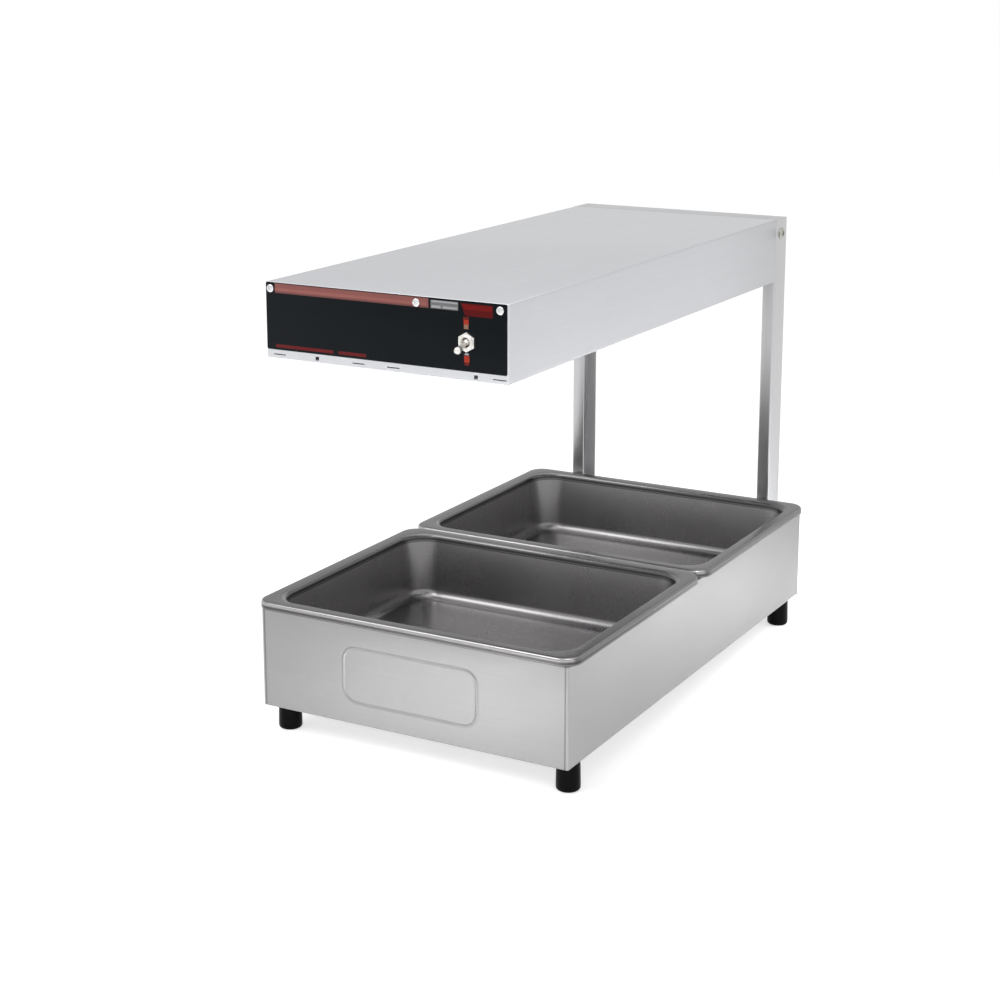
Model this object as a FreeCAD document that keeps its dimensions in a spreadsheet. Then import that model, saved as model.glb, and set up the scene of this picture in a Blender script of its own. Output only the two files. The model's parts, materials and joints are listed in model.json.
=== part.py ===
import FreeCAD, Part

import math
import os

import Sketcher
from FreeCAD import Placement, Rotation, Vector

# Chip warmer: an open base that carries two lift-out pans, two posts behind it, and a long
# heated head that reaches forward over the pans from the top of the posts.
# Millimetres. X to the right seen from the front, Y to the back, Z up from the floor.
# The origin lies on the floor, midway between the foremost and the rearmost point.

# Driving dimensions: name, millimetres, meaning
SIZES = (
    # Base
    ("base_wall", 1.2, "sheet of the base"),
    ("base_bend", 2.2, "outside radius of the base's folds"),
    ("side_flange", 5.2, "inward fold along the top of the sides"),
    ("front_flange", 7.5, "inward fold along the top of the front"),
    ("rear_flange", 12.0, "inward fold at the back of the sides"),
    ("bottom_flange", 26.0, "inward fold under the base"),
    ("emboss_width", 140.0, "plain raised frame on the front, width"),
    ("emboss_height", 55.0, "plain raised frame on the front, height"),
    ("emboss_line", 3.4, "width of the raised frame's line"),
    ("emboss_rise", 0.8, "how far the frame stands out"),
    ("emboss_corner", 15.0, "corner radius of the raised frame"),
    # Feet
    ("foot_height", 27.5, "foot, floor to base"),
    ("foot_diameter", 22.0, "foot, across"),
    ("foot_neck_diameter", 20.9, "foot, across at the top"),
    ("foot_side_inset", 12.3, "foot centre from the side face"),
    ("foot_end_inset", 24.3, "foot centre from the front or back face"),
    ("foot_round", 2.5, "rounding of the foot's lower edge"),
    ("foot_recess_diameter", 11.0, "screw recess in the foot"),
    ("foot_recess_depth", 17.0, "depth of the screw recess"),
    # Pans
    ("pan_width", 325.0, "pan over its rim, side to side"),
    ("pan_reach", 271.0, "pan over its rim, front to back"),
    ("pan_deep", 65.0, "depth of a pan, rim to underside"),
    ("pan_wall", 0.8, "sheet of the pans"),
    ("pan_overhang", 3.0, "front pan's rim in front of the base"),
    ("pan_rear_overhang", 2.0, "rear pan's rim behind the base"),
    ("pan_side_overhang", 5.5, "the pans' rims beyond the base's sides"),
    ("pan_room", 35.5, "underside of the base to the underside of the pans"),
    ("pan_gap", 3.0, "gap between the two pans' rims"),
    ("rim_land", 13.0, "width of a pan's rim"),
    ("rim_drop", 7.1, "height of the turned-down edge of the rim"),
    ("rim_corner", 16.0, "corner radius of the rim"),
    ("rim_bend", 2.6, "outside radius of the rim's fold"),
    ("well_corner", 28.0, "corner radius of the well at the rim"),
    ("well_foot_corner", 24.0, "corner radius of the well at its floor"),
    ("well_draft", 7.0, "how far the well draws in to its floor"),
    ("well_round", 10.0, "rounding between the well's walls and floor"),
    ("bar_width", 14.0, "support bar under the two rims, width"),
    ("bar_height", 12.0, "support bar, height"),
    # Posts
    ("post_width", 13.7, "post, side to side"),
    ("post_depth", 31.2, "post, front to back"),
    ("post_wall", 1.5, "post wall"),
    ("post_bend", 2.0, "outside corner radius of the posts"),
    ("post_standoff", 5.3, "back face of the base to the posts"),
    ("post_lift", 3.0, "underside of the base to the post's lower end"),
    ("spacer_low", 6.0, "underside of the base to the spacer"),
    ("spacer_high", 5.4, "top of the base to the spacer"),
    # Head
    ("head_inset", 38.7, "head's side in from the base's side"),
    ("head_height", 66.0, "head, bottom to top"),
    ("head_gap", 242.3, "top of the base to the head"),
    ("head_overhang", 33.3, "head in front of the base"),
    ("head_wall", 1.0, "sheet of the head"),
    ("head_bend", 2.0, "outside radius of the head's folds"),
    ("head_flange", 20.0, "inward fold under the head"),
    ("cap_flange", 12.0, "folds of the end caps inside the head"),
    ("slot_width", 12.0, "vent slots in the front cap's lower strip, width"),
    ("slot_height", 0.9, "vent slots, height"),
    ("slot_level", 3.4, "vent slots' middle above the head's underside"),
    ("latch_width", 3.6, "square holes between the vent slots"),
    ("panel_thickness", 0.6, "black control panel"),
    ("panel_low", 7.5, "control panel's lower edge above the head's underside"),
    ("panel_margin", 0.5, "control panel in from the head's top and left"),
    ("panel_right_margin", 1.9, "control panel in from the head's right"),
    ("panel_corner", 1.5, "corner radius of the control panel"),
    ("bridge_wall", 1.2, "box between the posts behind the head"),
    ("bridge_lip", 12.0, "lip round the bridge's rear window"),
    ("cover_wall", 1.0, "cover plate on the bridge"),
    # Heater
    ("bulkhead_wall", 1.0, "plates that close the reflector's ends"),
    ("bulkhead_front", 53.0, "front bulkhead behind the head's front"),
    ("bulkhead_rear", 25.0, "rear bulkhead in front of the head's back"),
    ("notch_width", 44.0, "lead notch in the bulkheads, width"),
    ("notch_inset", 30.3, "lead notch's middle from the head's right side"),
    ("notch_height", 25.0, "lead notch, height"),
    ("reflector_wall", 0.9, "reflector sheet"),
    ("reflector_gap", 4.3, "reflector's outer edge from the head's side"),
    ("reflector_lip", 12.0, "reflector's flat edge beside its mouth"),
    ("reflector_crown", 34.0, "flat crown's edge from the middle"),
    ("reflector_rise", 39.0, "crown above the mouth"),
    ("element_diameter", 8.0, "sheathed heating rod"),
    ("element_level", 24.0, "rod's middle above the head's underside"),
    ("element_end", 6.0, "rod's end beyond the bulkhead"),
    ("element_pin_diameter", 3.0, "rod's terminal pin"),
    ("element_pin_length", 6.0, "rod's terminal pin, length"),
    ("insulator_diameter", 16.0, "ceramic insulator's neck"),
    ("insulator_collar_diameter", 22.0, "ceramic insulator's collar"),
    ("insulator_collar", 3.0, "ceramic insulator's collar, thickness"),
    ("insulator_neck", 4.0, "ceramic insulator's neck beyond the bulkhead"),
    ("insulator_clearance", 0.1, "rod in its insulator, on the radius"),
    ("guard_wire_diameter", 3.0, "long wires of the guard"),
    ("guard_rung_diameter", 2.0, "cross wires of the guard"),
    ("guard_level", 5.5, "guard above the head's underside"),
    ("guard_spread", 48.0, "outer long wires from the middle"),
    ("guard_margin", 24.0, "first cross wire from the bulkhead"),
    # Switch
    ("toggle_inset", 38.3, "switch from the head's right side"),
    ("toggle_level", 32.0, "switch above the head's underside"),
    ("bushing_diameter", 11.9, "threaded bushing"),
    ("bushing_reach", 4.2, "bushing in front of the panel"),
    ("bushing_bore", 6.8, "bore round the lever's ball"),
    ("bushing_mouth", 9.0, "flared mouth of the bore"),
    ("mouth_depth", 3.0, "depth of the flare"),
    ("bushing_clearance", 0.2, "bushing in its panel hole, on the radius"),
    ("nut_flats", 14.3, "switch nut across its flats"),
    ("nut_thickness", 2.4, "switch nut"),
    ("washer_diameter", 15.5, "lock washer behind the cap"),
    ("washer_thickness", 0.8, "lock washer"),
    ("frame_width", 18.0, "switch frame and case, width"),
    ("frame_height", 33.0, "switch frame and case, height"),
    ("frame_thickness", 1.0, "switch frame plate"),
    ("case_depth", 18.0, "switch case"),
    ("case_pocket", 3.5, "room for the lever's tail in the case"),
    ("pivot_depth", 3.5, "lever pivot inside the bushing's mouth"),
    ("pivot_pin_diameter", 1.5, "pivot pin"),
    ("pivot_clearance", 0.05, "running fit of lever on pin, on the radius"),
    ("pin_inset", 0.4, "pivot pin's ends inside the bushing's skin"),
    ("ball_diameter", 6.0, "lever's ball"),
    ("lever_out", 14.8, "pivot to the middle of the tip, outwards"),
    ("lever_down", 4.3, "pivot to the middle of the tip, downwards"),
    ("lever_root_diameter", 4.0, "lever at the ball"),
    ("lever_tip_diameter", 6.4, "lever's round tip"),
    ("tail_diameter", 2.4, "lever's tail"),
    ("tail_length", 5.0, "lever's tail behind the pivot"),
    ("tab_width", 6.3, "switch terminal tab"),
    ("tab_thickness", 0.8, "switch terminal tab"),
    ("tab_length", 8.0, "switch terminal tab"),
    ("tab_spread", 8.0, "tabs above and below the switch's middle"),
    # Fasteners
    ("small_screw_diameter", 3.5, "panel, cover, plate and reflector screws"),
    ("small_head_diameter", 7.0, "their heads"),
    ("small_head_height", 1.8, "their heads"),
    ("small_screw_length", 6.0, "their shanks"),
    ("bolt_diameter", 5.0, "post and foot bolts"),
    ("bolt_head_diameter", 9.0, "their heads"),
    ("bolt_head_height", 3.2, "their heads"),
    ("bolt_clearance", 0.25, "bolts in their holes, on the radius"),
    ("bolt_nut_flats", 8.0, "their nuts across the flats"),
    ("bolt_nut_thickness", 4.0, "their nuts"),
    ("bolt_spare", 1.5, "bolt end beyond its nut"),
    ("post_head_diameter", 12.0, "round head of the screw through each post"),
    ("post_head_height", 2.8, "the same head"),
    ("post_screw_back", 14.0, "that screw behind the post's front"),
    ("post_screw_down", 15.7, "that screw below the post's top"),
    ("panel_screw_down", 5.8, "panel screws below the head's top"),
    ("panel_screw_left", 5.4, "left panel screw from the head's side"),
    ("panel_screw_right", 7.9, "right panel screw from the head's side"),
    ("panel_screw_middle", 86.3, "middle panel screw from the head's right side"),
    ("mount_bolt_low", 13.0, "lower head bolts above the head's underside"),
    ("mount_bolt_high", 26.0, "upper head bolts below the head's top"),
    ("spacer_bolt_low", 27.0, "lower post bolt above the spacer's foot"),
    ("spacer_bolt_high", 12.0, "upper post bolt below the spacer's top"),
    ("plate_screw_margin", 16.0, "back panel's screws from its top and bottom"),
    ("reflector_screw_margin", 40.0, "reflector screws from its ends"),
    # Supply
    ("cord_bore_diameter", 8.5, "cord bushing's bore"),
    ("cord_neck_diameter", 15.8, "cord bushing's neck in the back panel"),
    ("cord_collar_diameter", 22.0, "cord bushing's outer collar"),
    ("cord_collar", 4.5, "cord bushing's outer collar, thickness"),
    ("cord_lock_diameter", 18.0, "cord bushing's inner lock ring"),
    ("cord_lock", 5.0, "cord bushing's inner lock ring, thickness"),
    ("cord_offset", 45.0, "cord bushing to the right of the middle"),
    ("cord_level", 30.0, "cord bushing above the base's underside"),
    ("block_width", 38.0, "terminal block, side to side"),
    ("block_depth", 20.0, "terminal block, front to back"),
    ("block_height", 22.0, "terminal block, height"),
    ("block_clearance", 2.0, "terminal block in front of the rear feet's nuts"),
    ("block_pitch", 10.0, "terminal block, way to way"),
    ("lead_diameter", 2.6, "inner leads"),
    ("lead_margin", 5.2, "room beside the leads where they pass a wall"),
    ("lead_stub", 12.0, "supply lead's straight run behind its tab"),
    ("lead_slope", 36.0, "supply lead's bend behind its tab"),
    ("lead_ramp", 7.8, "return lead's last run to the terminal block"),
    ("lead_level", 14.5, "supply lead above the base's underside"),
    ("lead_step", 6.0, "return lead above the supply lead"),
    ("lead_slot", 16.0, "slot for the leads, height"),
    ("lead_slot_width", 7.0, "slot for the leads, width"),
    ("lead_front", 10.0, "return lead behind the post's front"),
    ("lead_back", 24.0, "supply lead behind the post's front"),
    ("lead_run_level", 45.0, "supply lead above the head's underside"),
    ("lead_return_level", 34.0, "return lead at the posts, above the head's underside"),
    ("lead_run_inset", 23.3, "supply lead from the head's right side"),
    ("lead_return_inset", 32.3, "return lead from the head's right side"),
    ("overrun", 2.0, "how far a cut runs past a face"),
)

ALIAS_COLUMN = "A"
VALUE_COLUMN = "B"
NOTE_COLUMN = "C"
FULL_TURN = 360.0
NUT_SIDE_COUNT = 6
AXIS_COUNT = 3
TERMINAL_WAY_COUNT = 3
LEAD_RADIUS_SHARE = 0.45
VENT_SLOT_SHARES = (-0.89, -0.215, 0.075, 0.925)
LATCH_HOLE_SHARES = (-0.565, 0.74)
GUARD_RUNGS = 9
TOP_VIEW = "XY_Plane"
FRONT_VIEW = "XZ_Plane"
TINY = 1e-4


def text_of(value):
    """The expression of a size, or the digits of a plain number."""
    return value.text if isinstance(value, Size) else repr(float(value))


class Size(float):
    """A number that carries the expression which gives it in the sheet."""

    def __new__(cls, value, text):
        number = float.__new__(cls, value)
        number.text = text
        return number

    def __add__(self, other):
        return Size(float(self) + float(other), "(%s + %s)" % (self.text, text_of(other)))

    def __radd__(self, other):
        return Size(float(other) + float(self), "(%s + %s)" % (text_of(other), self.text))

    def __sub__(self, other):
        return Size(float(self) - float(other), "(%s - %s)" % (self.text, text_of(other)))

    def __rsub__(self, other):
        return Size(float(other) - float(self), "(%s - %s)" % (text_of(other), self.text))

    def __mul__(self, other):
        return Size(float(self) * float(other), "(%s * %s)" % (self.text, text_of(other)))

    __rmul__ = __mul__

    def __truediv__(self, other):
        return Size(float(self) / float(other), "(%s / %s)" % (self.text, text_of(other)))

    def __neg__(self):
        return Size(-float(self), "(-%s)" % self.text)


class Sizes:
    """The sheet's sizes by name."""

    def __init__(self, document):
        self.sheet = document.addObject("Spreadsheet::Sheet", "sizes")
        for row, (name, value, note) in enumerate(SIZES, start=1):
            self.sheet.set("%s%d" % (ALIAS_COLUMN, row), name)
            self.sheet.set("%s%d" % (VALUE_COLUMN, row), str(value))
            self.sheet.setAlias("%s%d" % (VALUE_COLUMN, row), name)
            self.sheet.set("%s%d" % (NOTE_COLUMN, row), note)
        document.recompute()

    def __getattr__(self, name):
        return Size(getattr(self.sheet, name), "sizes.%s" % name)


doc = FreeCAD.newDocument("chip_warmer")
s = Sizes(doc)
sub_parts = []

# Levels and faces that several pieces share
base_side = s.pan_width / 2 - s.pan_side_overhang
base_depth = s.pan_reach * 2 + s.pan_gap - s.pan_overhang - s.pan_rear_overhang
base_height = s.pan_room + s.pan_deep - s.rim_drop
base_bottom = s.foot_height
base_top = base_bottom + base_height
rim_top = base_top + s.rim_drop
head_bottom = base_top + s.head_gap
head_top = head_bottom + s.head_height
head_side = base_side - s.head_inset

pivot_ahead = s.bushing_reach - s.pivot_depth
reach_forward = (s.head_overhang + s.panel_thickness + pivot_ahead + s.lever_out
                 + s.lever_tip_diameter / 2)
reach_backward = base_depth + s.post_standoff + s.post_depth + s.small_head_height
base_front = (reach_forward - reach_backward) / 2
base_back = base_front + base_depth
post_front = base_back + s.post_standoff
post_back = post_front + s.post_depth
head_front = base_front - s.head_overhang
head_back = post_front
panel_front = head_front - s.panel_thickness
post_inner = head_side - s.post_width
post_middle = head_side - s.post_width / 2
plate_top = base_bottom + s.base_wall * 2
spacer_foot = base_bottom + s.spacer_low
spacer_top = base_top - s.spacer_high

front_bulkhead = head_front + s.bulkhead_front
rear_bulkhead = head_back - s.bulkhead_rear
element_height = head_bottom + s.element_level
toggle_height = head_bottom + s.toggle_level
toggle_x = head_side - s.toggle_inset
pivot_y = panel_front - pivot_ahead
case_front = head_front + s.head_wall + s.washer_thickness + s.frame_thickness
case_back = case_front + s.case_depth
small_radius = s.small_screw_diameter / 2
bolt_radius = s.bolt_diameter / 2
bolt_hole = bolt_radius + s.bolt_clearance
bolt_nut_radius = s.bolt_nut_flats / 2 / math.cos(math.pi / NUT_SIDE_COUNT)
block_face = base_back - s.foot_end_inset - bolt_nut_radius - s.block_clearance
lead_run_x = head_side - s.lead_run_inset
lead_return_x = head_side - s.lead_return_inset


def bind(thing, prop, size):
    """Tie a property to the expression of a size."""
    thing.setExpression(prop, text_of(size))


def place_at(thing, point, rotation=None):
    """Put an object's own origin at a point, turned if asked."""
    if rotation is not None:
        thing.Placement = Placement(Vector(*point), rotation)
    for letter, size in zip("xyz", point):
        bind(thing, "Placement.Base.%s" % letter, size)


def keep(thing, label):
    """Name a finished sub-part."""
    thing.Label = label
    sub_parts.append(thing)
    return thing


def block(x, y, z):
    """A box between two values along each axis."""
    box = doc.addObject("Part::Box", "block")
    for prop, (low, high) in (("Length", x), ("Width", y), ("Height", z)):
        bind(box, prop, high - low)
    place_at(box, (x[0], y[0], z[0]))
    return box


def turn_to(direction):
    """The rotation that takes +Z to a direction."""
    return Rotation(Vector(0, 0, 1), Vector(*direction))


def rod(point, direction, radius, length):
    """A cylinder from a point along an axis direction."""
    bar = doc.addObject("Part::Cylinder", "rod")
    bind(bar, "Radius", radius)
    bind(bar, "Height", length)
    place_at(bar, point, turn_to(direction))
    return bar


def taper(point, direction, start_radius, end_radius, length):
    """A cone's frustum from a point along an axis direction."""
    cone = doc.addObject("Part::Cone", "taper")
    bind(cone, "Radius1", start_radius)
    bind(cone, "Radius2", end_radius)
    bind(cone, "Height", length)
    place_at(cone, point, turn_to(direction))
    return cone


def hexagon(point, direction, flats, length):
    """A hexagonal prism, measured across its flats."""
    prism = doc.addObject("Part::Prism", "hexagon")
    prism.Polygon = NUT_SIDE_COUNT
    bind(prism, "Circumradius", flats / 2 / math.cos(math.pi / NUT_SIDE_COUNT))
    bind(prism, "Height", length)
    place_at(prism, point, turn_to(direction))
    return prism


def joined(pieces):
    """One solid from pieces that meet."""
    fuse = doc.addObject("Part::MultiFuse", "joined")
    fuse.Shapes = pieces
    return fuse


def cut(body, tools):
    """A body less its tools."""
    result = doc.addObject("Part::Cut", "cut")
    result.Base = body
    result.Tool = tools[0] if len(tools) == 1 else joined(tools)
    return result


def group(pieces):
    """Like pieces that share one node, each a solid of its own."""
    compound = doc.addObject("Part::Compound", "group")
    compound.Links = pieces
    return compound


def along(point, direction, distance):
    """The point at a distance from another along an axis direction."""
    return tuple(start + distance * step if step else start
                 for start, step in zip(point, direction))


def screw(point, direction, head_radius, head_height, shank_radius, shank_length):
    """A round-headed screw, its head on the face at the point, its shank along the direction."""
    outward = tuple(-step for step in direction)
    skirt = head_height / 2
    skirt_end = along(point, outward, skirt)
    head = rod(point, outward, head_radius, skirt)
    crown = taper(skirt_end, outward, head_radius, head_radius / 2, head_height - skirt)
    shank = rod(point, direction, shank_radius, shank_length)
    return joined([head, crown, shank])


def small_screw(point, direction):
    """One of the small sheet-metal screws."""
    return screw(point, direction, s.small_head_diameter / 2, s.small_head_height,
                 small_radius, s.small_screw_length)


def bolt(point, direction, shank_length):
    """One of the bolts, seated at the point."""
    return screw(point, direction, s.bolt_head_diameter / 2, s.bolt_head_height,
                 bolt_radius, shank_length)


def bolt_nut(point, direction):
    """A nut whose near face is at the point."""
    blank = hexagon(point, direction, s.bolt_nut_flats, s.bolt_nut_thickness)
    return cut(blank, [rod(point, direction, bolt_radius, s.bolt_nut_thickness)])


def new_body(label):
    """An empty body."""
    body = doc.addObject("PartDesign::Body", label)
    body.Label = label
    return body


def origin_plane(body, role):
    """One of a body's own origin planes."""
    return next(item for item in body.Origin.OriginFeatures if item.Role == role)


def pin_point(sketch, geometry, end, point):
    """Tie one end of a line in a sketch to its two sizes."""
    for kind, size in (("DistanceX", point[0]), ("DistanceY", point[1])):
        index = sketch.addConstraint(Sketcher.Constraint(kind, -1, 1, geometry, end, float(size)))
        if isinstance(size, Size):
            sketch.setExpression("Constraints[%d]" % index, size.text)


def outline(body, plane, level, points):
    """A closed sketch of straight lines on a plane at a level along the plane's normal."""
    sketch = body.newObject("Sketcher::SketchObject", "outline")
    sketch.AttachmentSupport = [(origin_plane(body, plane), "")]
    sketch.MapMode = "FlatFace"
    sketch.AttachmentOffset = Placement(Vector(0, 0, float(level)), Rotation())
    bind(sketch, "AttachmentOffset.Base.z", level)
    corners = [Vector(float(across), float(up), 0) for across, up in points]
    lines = [Part.LineSegment(first, second)
             for first, second in zip(corners, corners[1:] + corners[:1])]
    sketch.addGeometry(lines, False)
    for index in range(len(lines)):
        following = (index + 1) % len(lines)
        sketch.addConstraint(Sketcher.Constraint("Coincident", index, 2, following, 1))
    for index, point in enumerate(points):
        pin_point(sketch, index, 1, point)
    return sketch


def rectangle(body, plane, level, across, up):
    """A closed rectangular sketch between two values each way."""
    corners = ((across[0], up[0]), (across[1], up[0]), (across[1], up[1]), (across[0], up[1]))
    return outline(body, plane, level, corners)


def pad(body, sketch, length):
    """Material from a sketch along its normal."""
    feature = body.newObject("PartDesign::Pad", "pad")
    feature.Profile = sketch
    bind(feature, "Length", length)
    doc.recompute()
    return feature


def pocket(body, sketch, length, forward=False):
    """A cut from a sketch against its normal, or along it."""
    before = body.Shape.Volume
    feature = body.newObject("PartDesign::Pocket", "pocket")
    feature.Profile = sketch
    feature.Reversed = forward
    bind(feature, "Length", length)
    doc.recompute()
    if before - body.Shape.Volume < TINY:
        raise ValueError("%s: a pocket cuts nothing" % body.Label)
    return feature


def straight_edges(shape, axis, spots):
    """Names of the edges along an axis that pass through the given spots of the other two."""
    others = [index for index in range(AXIS_COUNT) if index != axis]
    names = []
    for number, edge in enumerate(shape.Edges, start=1):
        ends = [vertex.Point for vertex in edge.Vertexes]
        if len(ends) != 2:
            continue
        if any(abs(ends[0][index] - ends[1][index]) > TINY for index in others):
            continue
        for spot in spots:
            if all(abs(ends[0][index] - float(value)) < TINY for index, value in zip(others, spot)):
                names.append("Edge%d" % number)
    return names


def soften(body, edges, radius):
    """Round the named edges of a body."""
    if not edges:
        raise ValueError("%s: no edge to round" % body.Label)
    before = body.Tip
    fillet = body.newObject("PartDesign::Fillet", "fold")
    fillet.Base = (before, edges)
    bind(fillet, "Radius", radius)
    doc.recompute()
    return fillet


def both(value):
    """A value on each side of the middle."""
    return (-value, value)


def spots(firsts, seconds):
    """Every pair of two lists of values."""
    return [(first, second) for first in firsts for second in seconds]


def rounded_plate(label, level, across, up, thickness, corner):
    """A plate with round corners that stands forward from a level of the front view."""
    body = new_body(label)
    pad(body, rectangle(body, FRONT_VIEW, level, across, up), thickness)
    soften(body, straight_edges(body.Shape, 1, spots(across, up)), corner)
    return body


def base_shell():
    """Front and sides of the base, folded from one sheet, with flanges all round."""
    body = new_body("base_sheet")
    flange_face = base_back - s.base_wall
    pad(body, rectangle(body, TOP_VIEW, base_bottom, both(base_side), (base_front, flange_face)),
        base_height)
    soften(body, straight_edges(body.Shape, 2, spots(both(base_side), [base_front])), s.base_bend)
    wall = s.base_wall
    inside = base_side - wall
    pocket(body, rectangle(body, TOP_VIEW, base_top - wall, both(inside),
                           (base_front + wall, flange_face - wall)), base_height - wall * 2)
    opening = base_side - s.side_flange
    pocket(body, rectangle(body, TOP_VIEW, base_top, both(opening),
                           (base_front + s.front_flange, flange_face)), wall)
    window = base_side - s.bottom_flange
    pocket(body, rectangle(body, TOP_VIEW, base_bottom + wall, both(window),
                           (base_front + s.bottom_flange, flange_face - s.bottom_flange)), wall)
    rear = base_side - s.rear_flange
    pocket(body, rectangle(body, FRONT_VIEW, -(flange_face - wall), both(rear),
                           (base_bottom + wall, base_top)), wall)
    holes = [rod((x, y, base_bottom - s.overrun), (0, 0, 1), bolt_hole,
                 s.base_wall + s.overrun * 2) for x, y in foot_places()]
    holes += [rod((x, flange_face - wall - s.overrun, z), (0, 1, 0), small_radius,
                  wall + s.overrun * 2) for x, z in back_screw_places()]
    return keep(joined([cut(body, holes), raised_frame()]), "base_shell")


def raised_frame():
    """A plain frame pressed out of the front panel."""
    middle = base_bottom + base_height / 2
    half_width = s.emboss_width / 2
    half_height = s.emboss_height / 2
    start = base_front + s.base_wall / 2
    outer = rounded_plate("frame_outside", -start, both(half_width),
                          (middle - half_height, middle + half_height),
                          s.emboss_rise + s.base_wall / 2, s.emboss_corner)
    half_width = half_width - s.emboss_line
    half_height = half_height - s.emboss_line
    inner = rounded_plate("frame_inside", -start - s.overrun, both(half_width),
                          (middle - half_height, middle + half_height),
                          s.emboss_rise + s.base_wall / 2 + s.overrun * 2,
                          s.emboss_corner - s.emboss_line)
    return cut(outer, [inner])


def foot_places():
    """Centres of the four feet."""
    across = base_side - s.foot_side_inset
    ends = (base_front + s.foot_end_inset, base_back - s.foot_end_inset)
    return [(x, y) for y in ends for x in both(across)]


def back_screw_places():
    """Screws that hold the back panel to the rear flanges."""
    across = base_side - s.rear_flange / 2
    levels = (base_bottom + s.plate_screw_margin, base_top - s.plate_screw_margin)
    return spots(both(across), levels)


def spacer_levels():
    """Heights of the bolts that hold each post."""
    return (spacer_foot + s.spacer_bolt_low, spacer_top - s.spacer_bolt_high)


def lead_opening(y):
    """The slot that lets the leads into the right post, cut through a wall at y."""
    middle = base_bottom + s.lead_level + s.lead_step / 2
    return block((post_middle - s.lead_slot_width / 2, post_middle + s.lead_slot_width / 2), y,
                 (middle - s.lead_slot / 2, middle + s.lead_slot / 2))


def base_panels():
    """Back panel, bottom plate and their screws."""
    front = base_back - s.base_wall
    panel = block(both(base_side), (front, base_back), (base_bottom, base_top))
    through = s.base_wall + s.overrun * 2
    start = front - s.overrun
    tools = [rod((x, start, z), (0, 1, 0), small_radius, through) for x, z in back_screw_places()]
    tools += [rod((x, start, z), (0, 1, 0), bolt_hole, through)
              for x, z in spots(both(post_middle), spacer_levels())]
    tools.append(rod((s.cord_offset, start, base_bottom + s.cord_level), (0, 1, 0),
                     s.cord_neck_diameter / 2, through))
    tools.append(lead_opening((start, base_back + s.overrun)))
    keep(cut(panel, tools), "base_back_panel")
    keep(group([small_screw((x, base_back, z), (0, -1, 0)) for x, z in back_screw_places()]),
         "back_panel_screws")
    inside = base_side - s.base_wall
    plate = block(both(inside), (base_front + s.base_wall, front - s.base_wall),
                  (base_bottom + s.base_wall, plate_top))
    holes = [rod((x, y, base_bottom), (0, 0, 1), bolt_hole, s.base_wall * 2 + s.overrun)
             for x, y in foot_places()]
    keep(cut(plate, holes), "base_bottom_plate")


def foot(label, x, y):
    """A moulded foot with a recess for its bolt."""
    recess = s.foot_recess_diameter / 2
    radius = s.foot_diameter / 2
    neck = s.foot_neck_diameter / 2
    blank = joined([taper((x, y, 0), (0, 0, 1), radius - s.foot_round, radius, s.foot_round),
                    taper((x, y, s.foot_round), (0, 0, 1), radius, neck,
                          s.foot_height - s.foot_round)])
    tools = [rod((x, y, -s.overrun), (0, 0, 1), recess, s.foot_recess_depth + s.overrun),
             rod((x, y, 0), (0, 0, 1), bolt_hole, s.foot_height + s.overrun)]
    return keep(cut(blank, tools), label)


def feet():
    """Four feet with their bolts and nuts."""
    labels = ("foot_front_left", "foot_front_right", "foot_rear_left", "foot_rear_right")
    for label, (x, y) in zip(labels, foot_places()):
        foot(label, x, y)
    shank = plate_top - s.foot_recess_depth + s.bolt_nut_thickness + s.bolt_spare
    keep(group([bolt((x, y, s.foot_recess_depth), (0, 0, 1), shank) for x, y in foot_places()]),
         "foot_bolts")
    keep(group([bolt_nut((x, y, plate_top), (0, 0, 1)) for x, y in foot_places()]), "foot_nuts")


def rounded_wire(half_x, half_y, radius, level):
    """A rectangle with round corners, about its own middle."""
    edges = []
    for side_x, side_y in ((1, 1), (-1, 1), (-1, -1), (1, -1)):
        middle = Vector(side_x * (half_x - radius), side_y * (half_y - radius), level)
        ends = [Vector(side_x, 0, 0), Vector(0, side_y, 0)]
        first, last = ends if side_x == side_y else reversed(ends)
        bisector = (first + last).normalize()
        edges.append(Part.Arc(middle + first * radius, middle + bisector * radius,
                              middle + last * radius).toShape())
    ring = []
    for current, following in zip(edges, edges[1:] + edges[:1]):
        ring += [current, Part.makeLine(current.Vertexes[-1].Point, following.Vertexes[0].Point)]
    return Part.Wire(ring)


def upright_block(half_x, half_y, radius, low, high):
    """A solid with round corners and upright walls, about its own middle."""
    return Part.Face(rounded_wire(half_x, half_y, radius, low)).extrude(Vector(0, 0, high - low))


def drawn_block(low, high):
    """A solid between two rounded rectangles, each half_x, half_y, radius and level."""
    return Part.makeLoft([rounded_wire(*low), rounded_wire(*high)], True, True)


def level_edges(shape, level):
    """Edges that lie in a level plane."""
    return [edge for edge in shape.Edges
            if all(abs(vertex.Z - level) < TINY for vertex in edge.Vertexes)]


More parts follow.
